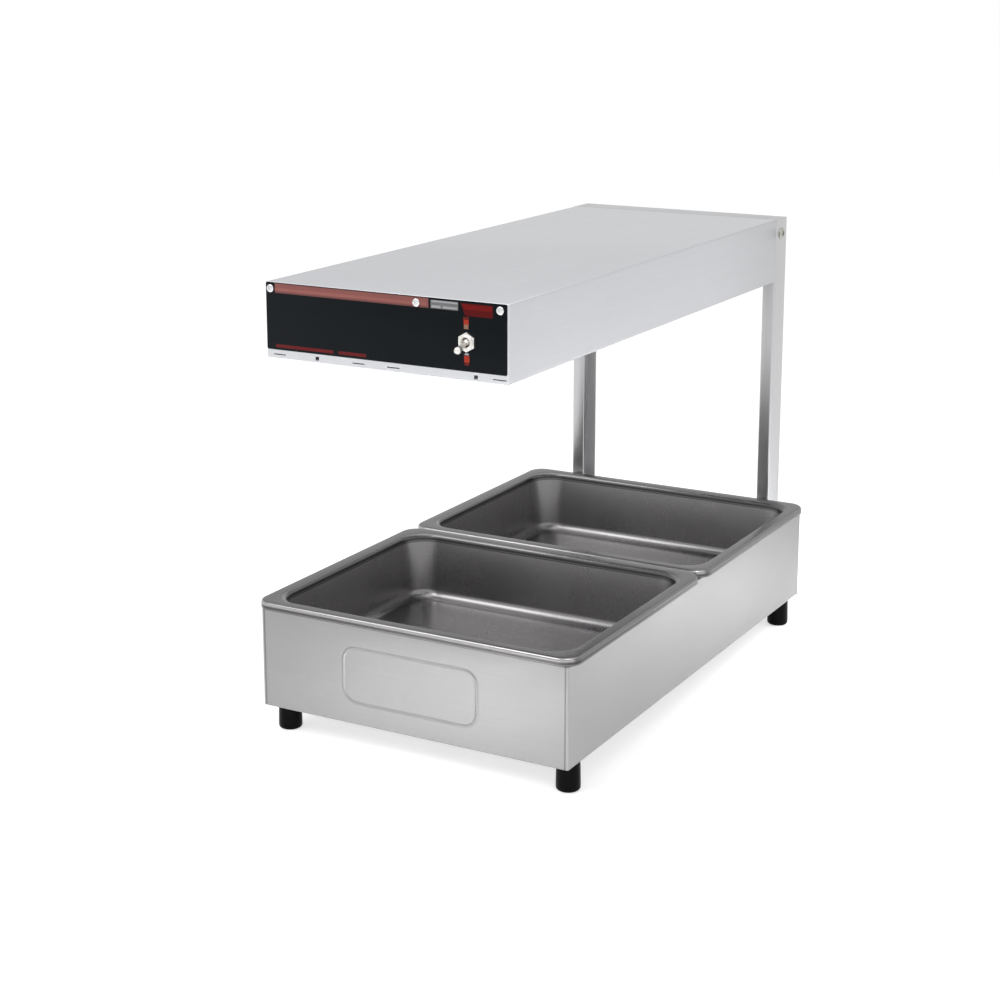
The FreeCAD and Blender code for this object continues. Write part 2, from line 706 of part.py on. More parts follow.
def pan(label, middle_y):
    """A deep-drawn pan with a flat rim and a turned-down edge, made about its own middle."""
    half_x = float(s.pan_width) / 2
    half_y = float(s.pan_reach) / 2
    wall = float(s.pan_wall)
    land = float(s.rim_land)
    bend = float(s.rim_bend)
    corner = float(s.rim_corner)
    top = float(rim_top)
    low = float(base_top)
    floor = top - float(s.pan_deep)
    over = float(s.overrun)
    rim = upright_block(half_x, half_y, corner, low, top)
    rim = rim.makeFillet(bend, level_edges(rim, top))
    under = upright_block(half_x - wall, half_y - wall, corner - wall, low - over, top - wall)
    under = under.makeFillet(bend - wall, level_edges(under, top - wall))

    def well(offset, bottom, lid):
        """The well's solid, its faces an offset outside the inner face."""
        slope = float(s.well_draft) / float(s.pan_deep)
        shift = slope * (top - bottom)
        lift = slope * (lid - top)
        mouth = (half_x - land + offset + lift, half_y - land + offset + lift,
                 float(s.well_corner) + offset, lid)
        base = (half_x - land + offset - shift, half_y - land + offset - shift,
                float(s.well_foot_corner) + offset, bottom)
        shape = drawn_block(base, mouth)
        return shape.makeFillet(float(s.well_round) + offset, level_edges(shape, bottom))

    bowl = well(wall, floor, top - wall / 2)
    hollow = well(0, floor + wall, top + over)
    shape = rim.cut(under).fuse(bowl).cut(hollow)
    feature = doc.addObject("Part::Feature", label)
    feature.Shape = shape.removeSplitter()
    place_at(feature, (Size(0, "0"), middle_y, Size(0, "0")))
    return keep(feature, label)


def pans():
    """Two like pans, one behind the other, and the bar that carries their inner edges."""
    first = base_front - s.pan_overhang + s.pan_reach / 2
    step = s.pan_reach + s.pan_gap
    pan("front_pan", first)
    pan("rear_pan", first + step)
    middle = first + step / 2
    reach = base_side - s.side_flange
    wall = s.base_wall
    bar = block(both(reach), (middle - s.bar_width / 2, middle + s.bar_width / 2),
                (base_top - s.bar_height, base_top))
    hollow = block(both(reach + s.overrun),
                   (middle - s.bar_width / 2 + wall, middle + s.bar_width / 2 - wall),
                   (base_top - s.bar_height - s.overrun, base_top - wall))
    keep(cut(bar, [hollow]), "pan_support_bar")


def post(label, side):
    """A closed-topped post: a tube round the leads on the right, on the left a channel open inwards."""
    body = new_body("%s_profile" % label)
    low = base_bottom + s.post_lift
    wall = s.post_wall
    if side > 0:
        edges = (post_inner, head_side)
        folds = edges
        hollow = (post_inner + wall, head_side - wall)
    else:
        edges = (-head_side, -post_inner)
        folds = edges[:1]
        hollow = (-head_side + wall, -post_inner + s.overrun)
    pad(body, rectangle(body, TOP_VIEW, low, edges, (post_front, post_back)), head_top - low)
    soften(body, straight_edges(body.Shape, 2, spots(folds, (post_front, post_back))), s.post_bend)
    pocket(body, rectangle(body, TOP_VIEW, head_top - wall, hollow,
                           (post_front + wall, post_back - wall)), head_top - wall - low)
    middle = post_middle * side
    tools = [rod((middle, post_front - s.overrun, z), (0, 1, 0), bolt_hole, wall + s.overrun * 2)
             for z in spacer_levels() + mount_levels()]
    across = rod((middle - s.post_width, post_screw_y(), post_screw_z()), (1, 0, 0), bolt_hole,
                 s.post_width * 2)
    tools.append(across)
    if side > 0:
        tools.append(lead_opening((post_front - s.overrun, post_front + wall + s.overrun)))
        tools.append(lead_passage((post_inner - s.overrun, post_inner + wall + s.overrun)))
    keep(cut(body, tools), label)


def post_screw_y():
    """Where the screw crosses each post, front to back."""
    return post_front + s.post_screw_back


def post_screw_z():
    """Where the screw crosses each post, up and down."""
    return head_top - s.post_screw_down


def mount_levels():
    """Heights of the bolts between the head and each post."""
    return (head_bottom + s.mount_bolt_low, head_top - s.mount_bolt_high)


def lead_passage(x):
    """The window that lets the leads from the bridge into the right post, cut along x."""
    reach = s.lead_margin
    return block(x, (post_front + s.lead_front - reach, post_front + s.lead_back + s.lead_diameter),
                 (head_bottom + s.lead_return_level - reach,
                  head_bottom + s.lead_run_level - s.lead_diameter + reach))


def spacers():
    """Blocks that hold the posts clear of the rear pan's rim."""
    for label, side in (("left_post_spacer", -1), ("right_post_spacer", 1)):
        edges = (post_inner, head_side) if side > 0 else (-head_side, -post_inner)
        blank = block(edges, (base_back, post_front), (spacer_foot, spacer_top))
        through = s.post_standoff + s.overrun * 2
        tools = [rod((post_middle * side, base_back - s.overrun, z), (0, 1, 0), bolt_hole, through)
                 for z in spacer_levels()]
        if side > 0:
            tools.append(lead_opening((base_back - s.overrun, post_front + s.overrun)))
        keep(cut(blank, tools), label)


def post_fasteners():
    """Bolts from the base into the posts, and from the head into the posts."""
    inner_face = post_front + s.post_wall
    seat = base_back - s.base_wall
    places = spots(both(post_middle), spacer_levels())
    shank = inner_face - seat + s.bolt_nut_thickness + s.bolt_spare
    keep(group([bolt((x, seat, z), (0, 1, 0), shank) for x, z in places]), "post_base_bolts")
    keep(group([bolt_nut((x, inner_face, z), (0, 1, 0)) for x, z in places]), "post_base_nuts")
    places = spots(both(post_middle), mount_levels())
    seat = head_back - s.head_wall
    shank = inner_face - seat + s.bolt_nut_thickness + s.bolt_spare
    keep(group([bolt((x, seat, z), (0, 1, 0), shank) for x, z in places]), "head_mount_bolts")
    keep(group([bolt_nut((x, inner_face, z), (0, 1, 0)) for x, z in places]), "head_mount_nuts")
    shank = s.post_width + s.bridge_wall + s.bolt_nut_thickness + s.bolt_spare
    screws = []
    nuts = []
    for side in (-1, 1):
        face = head_side * side
        screws.append(screw((face, post_screw_y(), post_screw_z()), (-side, 0, 0),
                            s.post_head_diameter / 2, s.post_head_height, bolt_radius, shank))
        nuts.append(bolt_nut(((post_inner - s.bridge_wall) * side, post_screw_y(), post_screw_z()),
                             (-side, 0, 0)))
    keep(group(screws), "post_top_screws")
    keep(group(nuts), "post_top_nuts")


def head_housing():
    """Top and sides of the head, folded from one sheet, with flanges below."""
    body = new_body("head_housing_sheet")
    wall = s.head_wall
    inner = head_side - wall
    lip = head_side - s.head_flange
    right = [(lip, head_bottom), (head_side, head_bottom), (head_side, head_top)]
    under = [(inner, head_top - wall), (inner, head_bottom + wall), (lip, head_bottom + wall)]
    points = (right + [(-x, z) for x, z in reversed(right)]
              + [(-x, z) for x, z in reversed(under)] + under)
    length = head_back - head_front - wall * 2
    pad(body, outline(body, FRONT_VIEW, -(head_back - wall), points), length)
    corners = spots(both(head_side), (head_bottom, head_top))
    soften(body, straight_edges(body.Shape, 1, corners), s.head_bend)
    inside = spots(both(inner), (head_bottom + wall, head_top - wall))
    soften(body, straight_edges(body.Shape, 1, inside), s.head_bend - wall)
    tools = [rod((x, y, head_bottom - s.overrun), (0, 0, 1), small_radius, wall + s.overrun * 2)
             for x, y in reflector_screw_places()]
    keep(cut(body, tools), "head_housing")


def end_cap(outer, inner, direction):
    """A cap: a plate over the head's end with folds that run inside the housing."""
    wall = s.head_wall
    fold = s.cap_flange * direction
    reach = head_side - wall
    plate_y = sorted((outer, inner))
    plate = block(both(head_side), plate_y, (head_bottom, head_top))
    inset = s.head_bend - wall
    fold_y = sorted((inner, inner + fold))
    top = block(both(reach - inset), fold_y, (head_top - wall * 2, head_top - wall))
    low = head_bottom + wall + inset * 2
    high = head_top - wall * 2 - inset
    left = block((-reach, -reach + wall), fold_y, (low, high))
    right = block((reach - wall, reach), fold_y, (low, high))
    return [plate, top, left, right]


def end_caps():
    """The front cap with its lower lip and slots, and the rear cap."""
    wall = s.head_wall
    inner = head_front + wall
    front = end_cap(head_front, inner, 1)
    lip_edge = head_side - s.head_flange
    front.append(block(both(lip_edge), (inner, inner + s.cap_flange),
                       (head_bottom, head_bottom + wall)))
    start = head_front - s.overrun
    through = wall + s.overrun * 2
    tools = [rod((x, start, z), (0, 1, 0), small_radius, through) for x, z in panel_screw_places()]
    tools.append(rod((toggle_x, start, toggle_height), (0, 1, 0),
                     s.bushing_diameter / 2 + s.bushing_clearance, through))
    level = head_bottom + s.slot_level
    openings = [(share, s.slot_width, s.slot_height) for share in VENT_SLOT_SHARES]
    openings += [(share, s.latch_width, s.latch_width) for share in LATCH_HOLE_SHARES]
    for share, width, height in openings:
        x = head_side * share
        tools.append(block((x - width / 2, x + width / 2), (start, inner + s.overrun / 2),
                           (level - height / 2, level + height / 2)))
    keep(cut(joined(front), tools), "head_front_cap")

    rear_inner = head_back - wall
    rear = end_cap(head_back, rear_inner, -1)
    rear.append(block(both(lip_edge), (rear_inner - s.cap_flange, rear_inner),
                      (head_bottom, head_bottom + wall)))
    start = rear_inner - s.overrun
    tools = [rod((x, start, z), (0, 1, 0), bolt_hole, through)
             for x, z in spots(both(post_middle), mount_levels())]
    tools.append(lead_window((start, head_back + s.overrun)))
    keep(cut(joined(rear), tools), "head_rear_cap")


def lead_window(y):
    """The window for the leads between the head and the bridge, cut along y."""
    reach = s.lead_margin
    return block((lead_return_x - reach, lead_run_x + reach), y,
                 (head_bottom + s.lead_return_level - reach, head_bottom + s.lead_run_level + reach))


def panel_screw_places():
    """The three screws along the control panel's top."""
    level = head_top - s.panel_screw_down
    return [(-head_side + s.panel_screw_left, level), (head_side - s.panel_screw_middle, level),
            (head_side - s.panel_screw_right, level)]


def control_panel():
    """The black panel on the front cap, and its screws."""
    across = (-head_side + s.panel_margin, head_side - s.panel_right_margin)
    body = rounded_plate("control_panel_sheet", -head_front, across,
                         (head_bottom + s.panel_low, head_top - s.panel_margin),
                         s.panel_thickness, s.panel_corner)
    start = panel_front - s.overrun
    through = s.panel_thickness + s.overrun * 2
    tools = [rod((x, start, z), (0, 1, 0), small_radius, through) for x, z in panel_screw_places()]
    tools.append(rod((toggle_x, start, toggle_height), (0, 1, 0),
                     s.bushing_diameter / 2 + s.bushing_clearance, through))
    keep(cut(body, tools), "control_panel")
    keep(group([small_screw((x, panel_front, z), (0, 1, 0)) for x, z in panel_screw_places()]),
         "panel_screws")


def bridge():
    """The box between the posts behind the head, and its cover."""
    wall = s.bridge_wall
    rear = post_back - s.cover_wall
    blank = block(both(post_inner), (head_back, rear), (head_bottom, head_top))
    hollow = block(both(post_inner - wall), (head_back + wall, rear - wall),
                   (head_bottom + wall, head_top - wall))
    lip = post_inner - s.bridge_lip
    window = block(both(lip), (rear - wall - s.overrun, rear + s.overrun),
                   (head_bottom + s.bridge_lip, head_top - s.bridge_lip))
    tools = [hollow, window, lead_window((head_back - s.overrun, head_back + wall + s.overrun)),
             lead_passage((post_inner - wall - s.overrun, post_inner + s.overrun))]
    tools.append(rod((-post_inner - s.overrun, post_screw_y(), post_screw_z()), (1, 0, 0), bolt_hole,
                     (post_inner + s.overrun) * 2))
    tools += [rod((x, rear - wall - s.overrun, z), (0, 1, 0), small_radius, wall + s.overrun * 2)
              for x, z in cover_screw_places()]
    keep(cut(blank, tools), "rear_bridge")
    plate = block(both(post_inner), (rear, post_back), (head_bottom, head_top))
    holes = [rod((x, rear - s.overrun, z), (0, 1, 0), small_radius, s.cover_wall + s.overrun * 2)
             for x, z in cover_screw_places()]
    keep(cut(plate, holes), "rear_cover")
    keep(group([small_screw((x, post_back, z), (0, -1, 0)) for x, z in cover_screw_places()]),
         "rear_cover_screws")


def cover_screw_places():
    """Screws at the corners of the rear cover."""
    across = post_inner - s.bridge_lip / 2
    levels = (head_bottom + s.bridge_lip / 2, head_top - s.bridge_lip / 2)
    return spots(both(across), levels)


def reflector_screw_places():
    """Screws up through the housing's flanges into the reflector's edges."""
    across = head_side - s.reflector_gap - s.reflector_lip / 2
    ends = (front_bulkhead + s.bulkhead_wall + s.reflector_screw_margin,
            rear_bulkhead - s.reflector_screw_margin)
    return [(x, y) for x in both(across) for y in ends]


def reflector():
    """The folded reflector over the heating rod, and its screws."""
    body = new_body("reflector_sheet")
    low = head_bottom + s.head_wall
    wall = s.reflector_wall
    crown = low + s.reflector_rise
    edge = head_side - s.reflector_gap
    right = [(edge, low), (edge - s.reflector_lip, low), (s.reflector_crown, crown)]
    left = [(-x, z) for x, z in reversed(right)]
    path = right + left
    points = path + [(x, z + wall) for x, z in reversed(path)]
    start = front_bulkhead + s.bulkhead_wall
    pad(body, outline(body, FRONT_VIEW, -rear_bulkhead, points), rear_bulkhead - start)
    tools = [rod((x, y, low - s.overrun), (0, 0, 1), small_radius, wall + s.overrun * 2)
             for x, y in reflector_screw_places()]
    keep(cut(body, tools), "reflector")
    keep(group([small_screw((x, y, head_bottom), (0, 0, 1)) for x, y in reflector_screw_places()]),
         "reflector_screws")


def bulkheads():
    """Plates across the head at both ends of the reflector, with their insulators."""
    reach = head_side - s.head_wall
    low = head_bottom + s.head_wall
    high = head_top - s.head_wall
    corner = s.head_bend - s.head_wall
    neck = s.insulator_diameter / 2
    notch_x = head_side - s.notch_inset
    for label, start, outward in (("front", front_bulkhead, -1), ("rear", rear_bulkhead, 1)):
        end = start + s.bulkhead_wall
        middle = block(both(reach), (start, end), (low + corner, high - corner))
        foot_strip = block(both(reach - corner), (start, end), (low, low + corner))
        head_strip = block(both(reach - corner), (start, end), (high - corner, high))
        hole = rod((Size(0, "0"), start - s.overrun, element_height), (0, 1, 0), neck,
                   s.bulkhead_wall + s.overrun * 2)
        notch = block((notch_x - s.notch_width / 2, notch_x + s.notch_width / 2),
                      (start - s.overrun, end + s.overrun),
                      (high - s.notch_height, high + s.overrun))
        keep(cut(joined([middle, foot_strip, head_strip]), [hole, notch]),
             "%s_bulkhead" % label)
        face = start if outward < 0 else end
        away = (0, outward, 0)
        back = (0, -outward, 0)
        centre = (Size(0, "0"), face, element_height)
        collar = rod(centre, away, s.insulator_collar_diameter / 2, s.insulator_collar)
        shank = rod(centre, back, neck, s.bulkhead_wall + s.insulator_neck)
        bore_start = along(centre, away, s.insulator_collar + s.overrun)
        bore = rod(bore_start, back, s.element_diameter / 2 + s.insulator_clearance,
                   s.insulator_collar + s.bulkhead_wall + s.insulator_neck + s.overrun * 2)
        keep(cut(joined([collar, shank]), [bore]), "%s_insulator" % label)


def heating_element():
    """The sheathed heating rod with a terminal pin at each end, and the wire guard below it."""
    start = front_bulkhead - s.element_end
    end = rear_bulkhead + s.bulkhead_wall + s.element_end
    centre = (Size(0, "0"), start, element_height)
    sheath = rod(centre, (0, 1, 0), s.element_diameter / 2, end - start)
    pin_start = along(centre, (0, -1, 0), s.element_pin_length)
    pin = rod(pin_start, (0, 1, 0), s.element_pin_diameter / 2,
              end - start + s.element_pin_length * 2)
    keep(joined([sheath, pin]), "heating_element")

    near = front_bulkhead + s.bulkhead_wall
    length = rear_bulkhead - near
    level = head_bottom + s.guard_level
    wires = [rod((x, near, level), (0, 1, 0), s.guard_wire_diameter / 2, length)
             for x in (-s.guard_spread, Size(0, "0"), s.guard_spread)]
    pitch = (length - s.guard_margin * 2) / (GUARD_RUNGS - 1)
    wires += [rod((-s.guard_spread, near + s.guard_margin + pitch * number, level), (1, 0, 0),
                  s.guard_rung_diameter / 2, s.guard_spread * 2) for number in range(GUARD_RUNGS)]
    keep(joined(wires), "element_guard")


def switch():
    """Toggle switch: bushing on its frame, case, tabs, nut, washer, pivot pin and lever."""
    x = toggle_x
    z = toggle_height
    radius = s.bushing_diameter / 2
    mouth_y = panel_front - s.bushing_reach
    frame_front = head_front + s.head_wall + s.washer_thickness
    tube = rod((x, mouth_y, z), (0, 1, 0), radius, frame_front - mouth_y)
    plate = block((x - s.frame_width / 2, x + s.frame_width / 2), (frame_front, case_front),
                  (z - s.frame_height / 2, z + s.frame_height / 2))
    bore = rod((x, mouth_y - s.overrun, z), (0, 1, 0), s.bushing_bore / 2,
               case_front - mouth_y + s.overrun * 2)
    flare = taper((x, mouth_y, z), (0, 1, 0), s.bushing_mouth / 2, s.bushing_bore / 2, s.mouth_depth)
    pin_start = x - radius + s.pin_inset
    pin_length = (radius - s.pin_inset) * 2
    pin_place = (pin_start, pivot_y, z)
    pin_hole = rod(pin_place, (1, 0, 0), s.pivot_pin_diameter / 2, pin_length)
    keep(cut(joined([tube, plate]), [bore, flare, pin_hole]), "switch_bushing")
    keep(rod(pin_place, (1, 0, 0), s.pivot_pin_diameter / 2, pin_length), "switch_pivot_pin")

    case = block((x - s.frame_width / 2, x + s.frame_width / 2), (case_front, case_back),
                 (z - s.frame_height / 2, z + s.frame_height / 2))
    room = rod((x, case_front - s.overrun, z), (0, 1, 0), s.bushing_bore / 2,
               s.case_pocket + s.overrun)
    keep(cut(case, [room]), "switch_case")
    tabs = [block((x - s.tab_width / 2, x + s.tab_width / 2), (case_back, case_back + s.tab_length),
                  (z + s.tab_spread * side - s.tab_thickness / 2,
                   z + s.tab_spread * side + s.tab_thickness / 2)) for side in (-1, 1)]
    keep(group(tabs), "switch_tabs")

    nut_place = (x, panel_front, z)
    nut = hexagon(nut_place, (0, -1, 0), s.nut_flats, s.nut_thickness)
    keep(cut(nut, [rod(nut_place, (0, -1, 0), radius, s.nut_thickness)]), "switch_nut")
    washer_place = (x, head_front + s.head_wall, z)
    washer = rod(washer_place, (0, 1, 0), s.washer_diameter / 2, s.washer_thickness)
    keep(cut(washer, [rod(washer_place, (0, 1, 0), radius, s.washer_thickness)]), "switch_washer")


def toggle_lever():
    """The bat-shaped lever, leaning down, on its pivot pin."""
    lean = math.degrees(math.atan2(s.lever_down, s.lever_out))
    length = math.hypot(s.lever_out, s.lever_down)
    ball = Part.makeSphere(s.ball_diameter / 2)
    grip = Part.makeCone(s.lever_root_diameter / 2, s.lever_tip_diameter / 2, length)
    tip = Part.makeSphere(s.lever_tip_diameter / 2, Vector(0, 0, length))
    tail = Part.makeCylinder(s.tail_diameter / 2, s.tail_length, Vector(), Vector(0, 0, -1))
    shape = ball.multiFuse([grip, tip, tail])
    shape.rotate(Vector(), Vector(1, 0, 0), FULL_TURN / 4 + lean)
    reach = float(s.ball_diameter)
    hole = Part.makeCylinder(s.pivot_pin_diameter / 2 + s.pivot_clearance, reach * 2,
                             Vector(-reach, 0, 0), Vector(1, 0, 0))
    feature = doc.addObject("Part::Feature", "toggle_lever")
    feature.Shape = shape.cut(hole)
    place_at(feature, (toggle_x, pivot_y, toggle_height))
    keep(feature, "toggle_lever")


def supply():
    """Cord bushing in the back panel and the terminal block inside the base."""
    level = base_bottom + s.cord_level
    inner = base_back - s.base_wall
    x = s.cord_offset
    collar = rod((x, base_back, level), (0, 1, 0), s.cord_collar_diameter / 2, s.cord_collar)
    neck = rod((x, inner, level), (0, 1, 0), s.cord_neck_diameter / 2, s.base_wall)
    lock = rod((x, inner - s.cord_lock, level), (0, 1, 0), s.cord_lock_diameter / 2, s.cord_lock)
    bore = rod((x, inner - s.cord_lock - s.overrun, level), (0, 1, 0), s.cord_bore_diameter / 2,
               s.cord_lock + s.base_wall + s.cord_collar + s.overrun * 2)
    keep(cut(joined([collar, neck, lock]), [bore]), "cord_bushing")

    first_way = post_middle + s.block_pitch / 2
    right = first_way + (s.block_width - s.block_pitch * TERMINAL_WAY_COUNT) / 2
    keep(block((right - s.block_width, right), (block_face - s.block_depth, block_face),
               (plate_top, plate_top + s.block_height)), "terminal_block")
    heads = [rod((post_middle - s.block_pitch * way, block_face - s.block_depth / 2,
                  plate_top + s.block_height), (0, 0, 1), s.small_head_diameter / 2,
                 s.small_head_height) for way in range(TERMINAL_WAY_COUNT)]
    keep(group(heads), "terminal_screws")


def lead(label, points):
    """A round lead along straight runs joined by arcs."""
    corners = [Vector(*[float(value) for value in point]) for point in points]
    edges = []
    at = corners[0]
    for before, corner, after in zip(corners, corners[1:], corners[2:]):
        into = (corner - before).normalize()
        out = (after - corner).normalize()
        half_turn = into.getAngle(out) / 2
        trim = LEAD_RADIUS_SHARE * min((corner - before).Length, (after - corner).Length)
        start = corner - into * trim
        end = corner + out * trim
        inward = (out - into).normalize()
        radius = trim / math.tan(half_turn)
        middle = corner + inward * (radius / math.cos(half_turn) - radius)
        edges += [Part.makeLine(at, start), Part.Arc(start, middle, end).toShape()]
        at = end
    edges.append(Part.makeLine(at, corners[-1]))
    path = Part.Wire(edges)
    radius = float(s.lead_diameter) / 2
    ring = Part.Wire(Part.makeCircle(radius, corners[0], corners[1] - corners[0]))
    feature = doc.addObject("Part::Feature", label)
    feature.Shape = path.makePipeShell([ring], True, False)
    return keep(feature, label)


def leads():
    """Supply to the switch, switch to the rod, and the rod's return."""
    x = toggle_x
    tab_end = case_back + s.tab_length
    run = head_bottom + s.lead_run_level
    low = base_bottom + s.lead_level
    rear_y = post_front + s.lead_back
    lead("supply_lead", (
        (x, tab_end, toggle_height + s.tab_spread),
        (x, tab_end + s.lead_stub, toggle_height + s.tab_spread),
        (lead_run_x, tab_end + s.lead_slope, run),
        (lead_run_x, rear_y, run),
        (post_middle, rear_y, run - s.lead_diameter),
        (post_middle, rear_y, low),
        (post_middle, block_face, low)))
    front_pin = front_bulkhead - s.element_end - s.element_pin_length
    joint_y = (tab_end + front_pin) / 2
    lead("switched_lead", (
        (x, tab_end, toggle_height - s.tab_spread),
        (x, joint_y, toggle_height - s.tab_spread),
        (Size(0, "0"), joint_y, element_height),
        (Size(0, "0"), front_pin, element_height)))
    rear_pin = rear_bulkhead + s.bulkhead_wall + s.element_end + s.element_pin_length
    lane_y = (rear_pin + head_back - s.head_wall) / 2
    front_y = post_front + s.lead_front
    high = head_bottom + s.lead_return_level
    raised = low + s.lead_step
    side_way = post_middle - s.block_pitch
    lead("return_lead", (
        (Size(0, "0"), rear_pin, element_height),
        (Size(0, "0"), lane_y, element_height),
        (lead_return_x, lane_y, high),
        (lead_return_x, front_y, high),
        (post_middle, front_y, high),
        (post_middle, front_y, raised),
        (post_middle, base_back - s.lead_margin, raised),
        (side_way, block_face + s.lead_ramp, low),
        (side_way, block_face, low)))


def build():
    """Make every sub-part."""
    base_shell()
    base_panels()
    feet()
    pans()
    post("left_post", -1)
    post("right_post", 1)
    spacers()
    post_fasteners()
    head_housing()
    end_caps()
    control_panel()
    bridge()
    reflector()
    bulkheads()
    heating_element()
    switch()
    toggle_lever()
    supply()
    leads()


def check():
    """Stop if any object failed or any sub-part is not a valid solid."""
    doc.recompute()
    for thing in doc.Objects:
        if "Invalid" in thing.State or "Error" in thing.State:
            raise RuntimeError("%s did not recompute: %s" % (thing.Label, thing.State))
    for thing in sub_parts:
        if thing.Shape.isNull() or not thing.Shape.isValid() or not thing.Shape.Solids:
            raise RuntimeError("%s has no valid solid" % thing.Label)


def write():
    """Write each sub-part to a file of its own."""
    os.makedirs("parts", exist_ok=True)
    whole = FreeCAD.BoundBox()
    for thing in sub_parts:
        thing.Shape.exportStep("parts/%s.step" % thing.Label)
        whole.add(thing.Shape.BoundBox)
        print("%-20s solids %d volume %.0f"
              % (thing.Label, len(thing.Shape.Solids), thing.Shape.Volume))
    print("sub-parts", len(sub_parts), "box", whole)


build()
check()
write()
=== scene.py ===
"""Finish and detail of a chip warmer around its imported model.

An open base on four feet carries two lift-out pans. Two posts behind it hold a long heated
head over the pans. Metres, in the model's own frame: X to the right seen from the front,
Y to the back, Z up from the floor.
"""

import itertools
import json
import logging
import math
from collections.abc import Callable, Iterable, Sequence
from dataclasses import dataclass
from enum import Enum
from typing import Any

import bmesh
import bpy
from mathutils import Matrix, Vector


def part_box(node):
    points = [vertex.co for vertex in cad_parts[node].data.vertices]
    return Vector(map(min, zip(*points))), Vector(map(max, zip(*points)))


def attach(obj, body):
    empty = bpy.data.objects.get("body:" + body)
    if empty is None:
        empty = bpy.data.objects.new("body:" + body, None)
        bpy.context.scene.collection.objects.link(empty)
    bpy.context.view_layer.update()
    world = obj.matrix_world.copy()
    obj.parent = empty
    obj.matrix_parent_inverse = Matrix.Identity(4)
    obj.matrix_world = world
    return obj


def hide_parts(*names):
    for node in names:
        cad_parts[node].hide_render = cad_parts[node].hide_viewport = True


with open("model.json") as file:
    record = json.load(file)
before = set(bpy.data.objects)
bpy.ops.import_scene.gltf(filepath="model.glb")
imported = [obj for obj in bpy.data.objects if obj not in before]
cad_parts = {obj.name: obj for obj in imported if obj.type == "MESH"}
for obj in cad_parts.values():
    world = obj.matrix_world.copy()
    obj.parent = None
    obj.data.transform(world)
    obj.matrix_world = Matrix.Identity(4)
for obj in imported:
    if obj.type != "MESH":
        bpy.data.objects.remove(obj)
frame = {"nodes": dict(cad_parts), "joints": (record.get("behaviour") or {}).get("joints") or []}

MM = 0.001
NEAR = 0.02 * MM
TINY = 1e-6
ROUND = 48
FOLD_STEPS = 5
CORNER_STEPS = 10
ARC_STEPS = 6
FLOOR_STEPS = 8
LEVER_STEPS = 8
DOME_STEPS = 7
EASE = 0.2 * MM
EASE_STEPS = 2
SMOOTH_ANGLE = math.radians(32)
EASE_ANGLE = math.radians(40)
QUARTER = math.pi / 2
HALF = 0.5
ORIGIN = (0.0, 0.0, 0.0)
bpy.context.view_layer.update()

log = logging.getLogger("chip_warmer")

Colour = tuple[float, float, float]
Shade = tuple[float, float, float, float]
Item = Any
Test = Callable[[Item], bool]


class Kind(Enum):
    """What a selection is made of."""

    CORNERS = "VERT"
    EDGES = "EDGE"
    FACES = "FACE"


class Axis(Enum):
    """An axis of the model, as an index and a direction."""

    X = 0
    Y = 1
    Z = 2

    @property
    def way(self) -> Vector:
        """The unit vector along the axis."""
        return Vector([1.0 if index == self.value else 0.0 for index in range(3)])


class Rides(Enum):
    """The bodies of the model."""

    FRAME = "frame"
    FRONT_PAN = "front_pan_body"
    REAR_PAN = "rear_pan_body"
    LEVER = "lever_body"


def rest() -> None:
    """Leave edit mode and select nothing."""
    if bpy.context.mode != "OBJECT":
        bpy.ops.object.mode_set(mode="OBJECT")
    bpy.ops.object.select_all(action="DESELECT")


def corners_of(item: Item) -> Sequence[Item]:
    """The corners of a face, an edge or a corner."""
    return item.verts if hasattr(item, "verts") else (item,)


def at(axis: Axis, *values: float) -> Test:
    """A test for items that lie wholly at one of some values of a coordinate.

    Args:
        axis: The coordinate.
        values: Where the item may lie.

    Returns:
        A test for use with Workpiece.pick.
    """

    def test(item: Item) -> bool:
        """Whether an item lies at one of the values."""
        return any(all(abs(corner.co[axis.value] - value) < NEAR for corner in corners_of(item))
                   for value in values)

    return test


def anything(_: Item) -> bool:
    """A test that every item passes."""
    return True


def along(axis: Axis) -> Test:
    """A test for edges that run along an axis."""

    def test(edge: Item) -> bool:
        """Whether an edge runs along the axis."""
        run = edge.verts[1].co - edge.verts[0].co
        return run.length > TINY and abs(run.normalized().dot(axis.way)) > 1 - TINY

    return test


def facing(way: Vector) -> Test:
    """A test for faces whose normal points one way."""
    return lambda face: face.normal.dot(way) > 1 - TINY * 10


def every(*tests: Test) -> Test:
    """A test that asks for all of several tests."""
    return lambda item: all(test(item) for test in tests)


def within(half_x: float, front: float) -> Test:
    """A test for faces whose middle lies behind a line and between two sides."""

    def test(face: Item) -> bool:
        """Whether a face's middle lies there."""
        middle = face.calc_center_median()
        return abs(middle.x) < half_x and middle.y > front

    return test


def not_at(axis: Axis, *values: float) -> Test:
    """The opposite of at."""
    found = at(axis, *values)
    return lambda item: not found(item)


def open_edge(edge: Item) -> bool:
    """Whether an edge has a face on one side only."""
    return len(edge.link_faces) == 1


def arc(steps: int, end: float = QUARTER) -> list[float]:
    """The angles of an arc from zero to its end, in equal steps."""
    return [end * step / steps for step in range(steps + 1)]


def measure(node: str) -> tuple[Vector, Vector, Vector]:
    """The lowest and highest corners of a plain piece, and its middle."""
    low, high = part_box(node)
    return low, high, (low + high) / 2


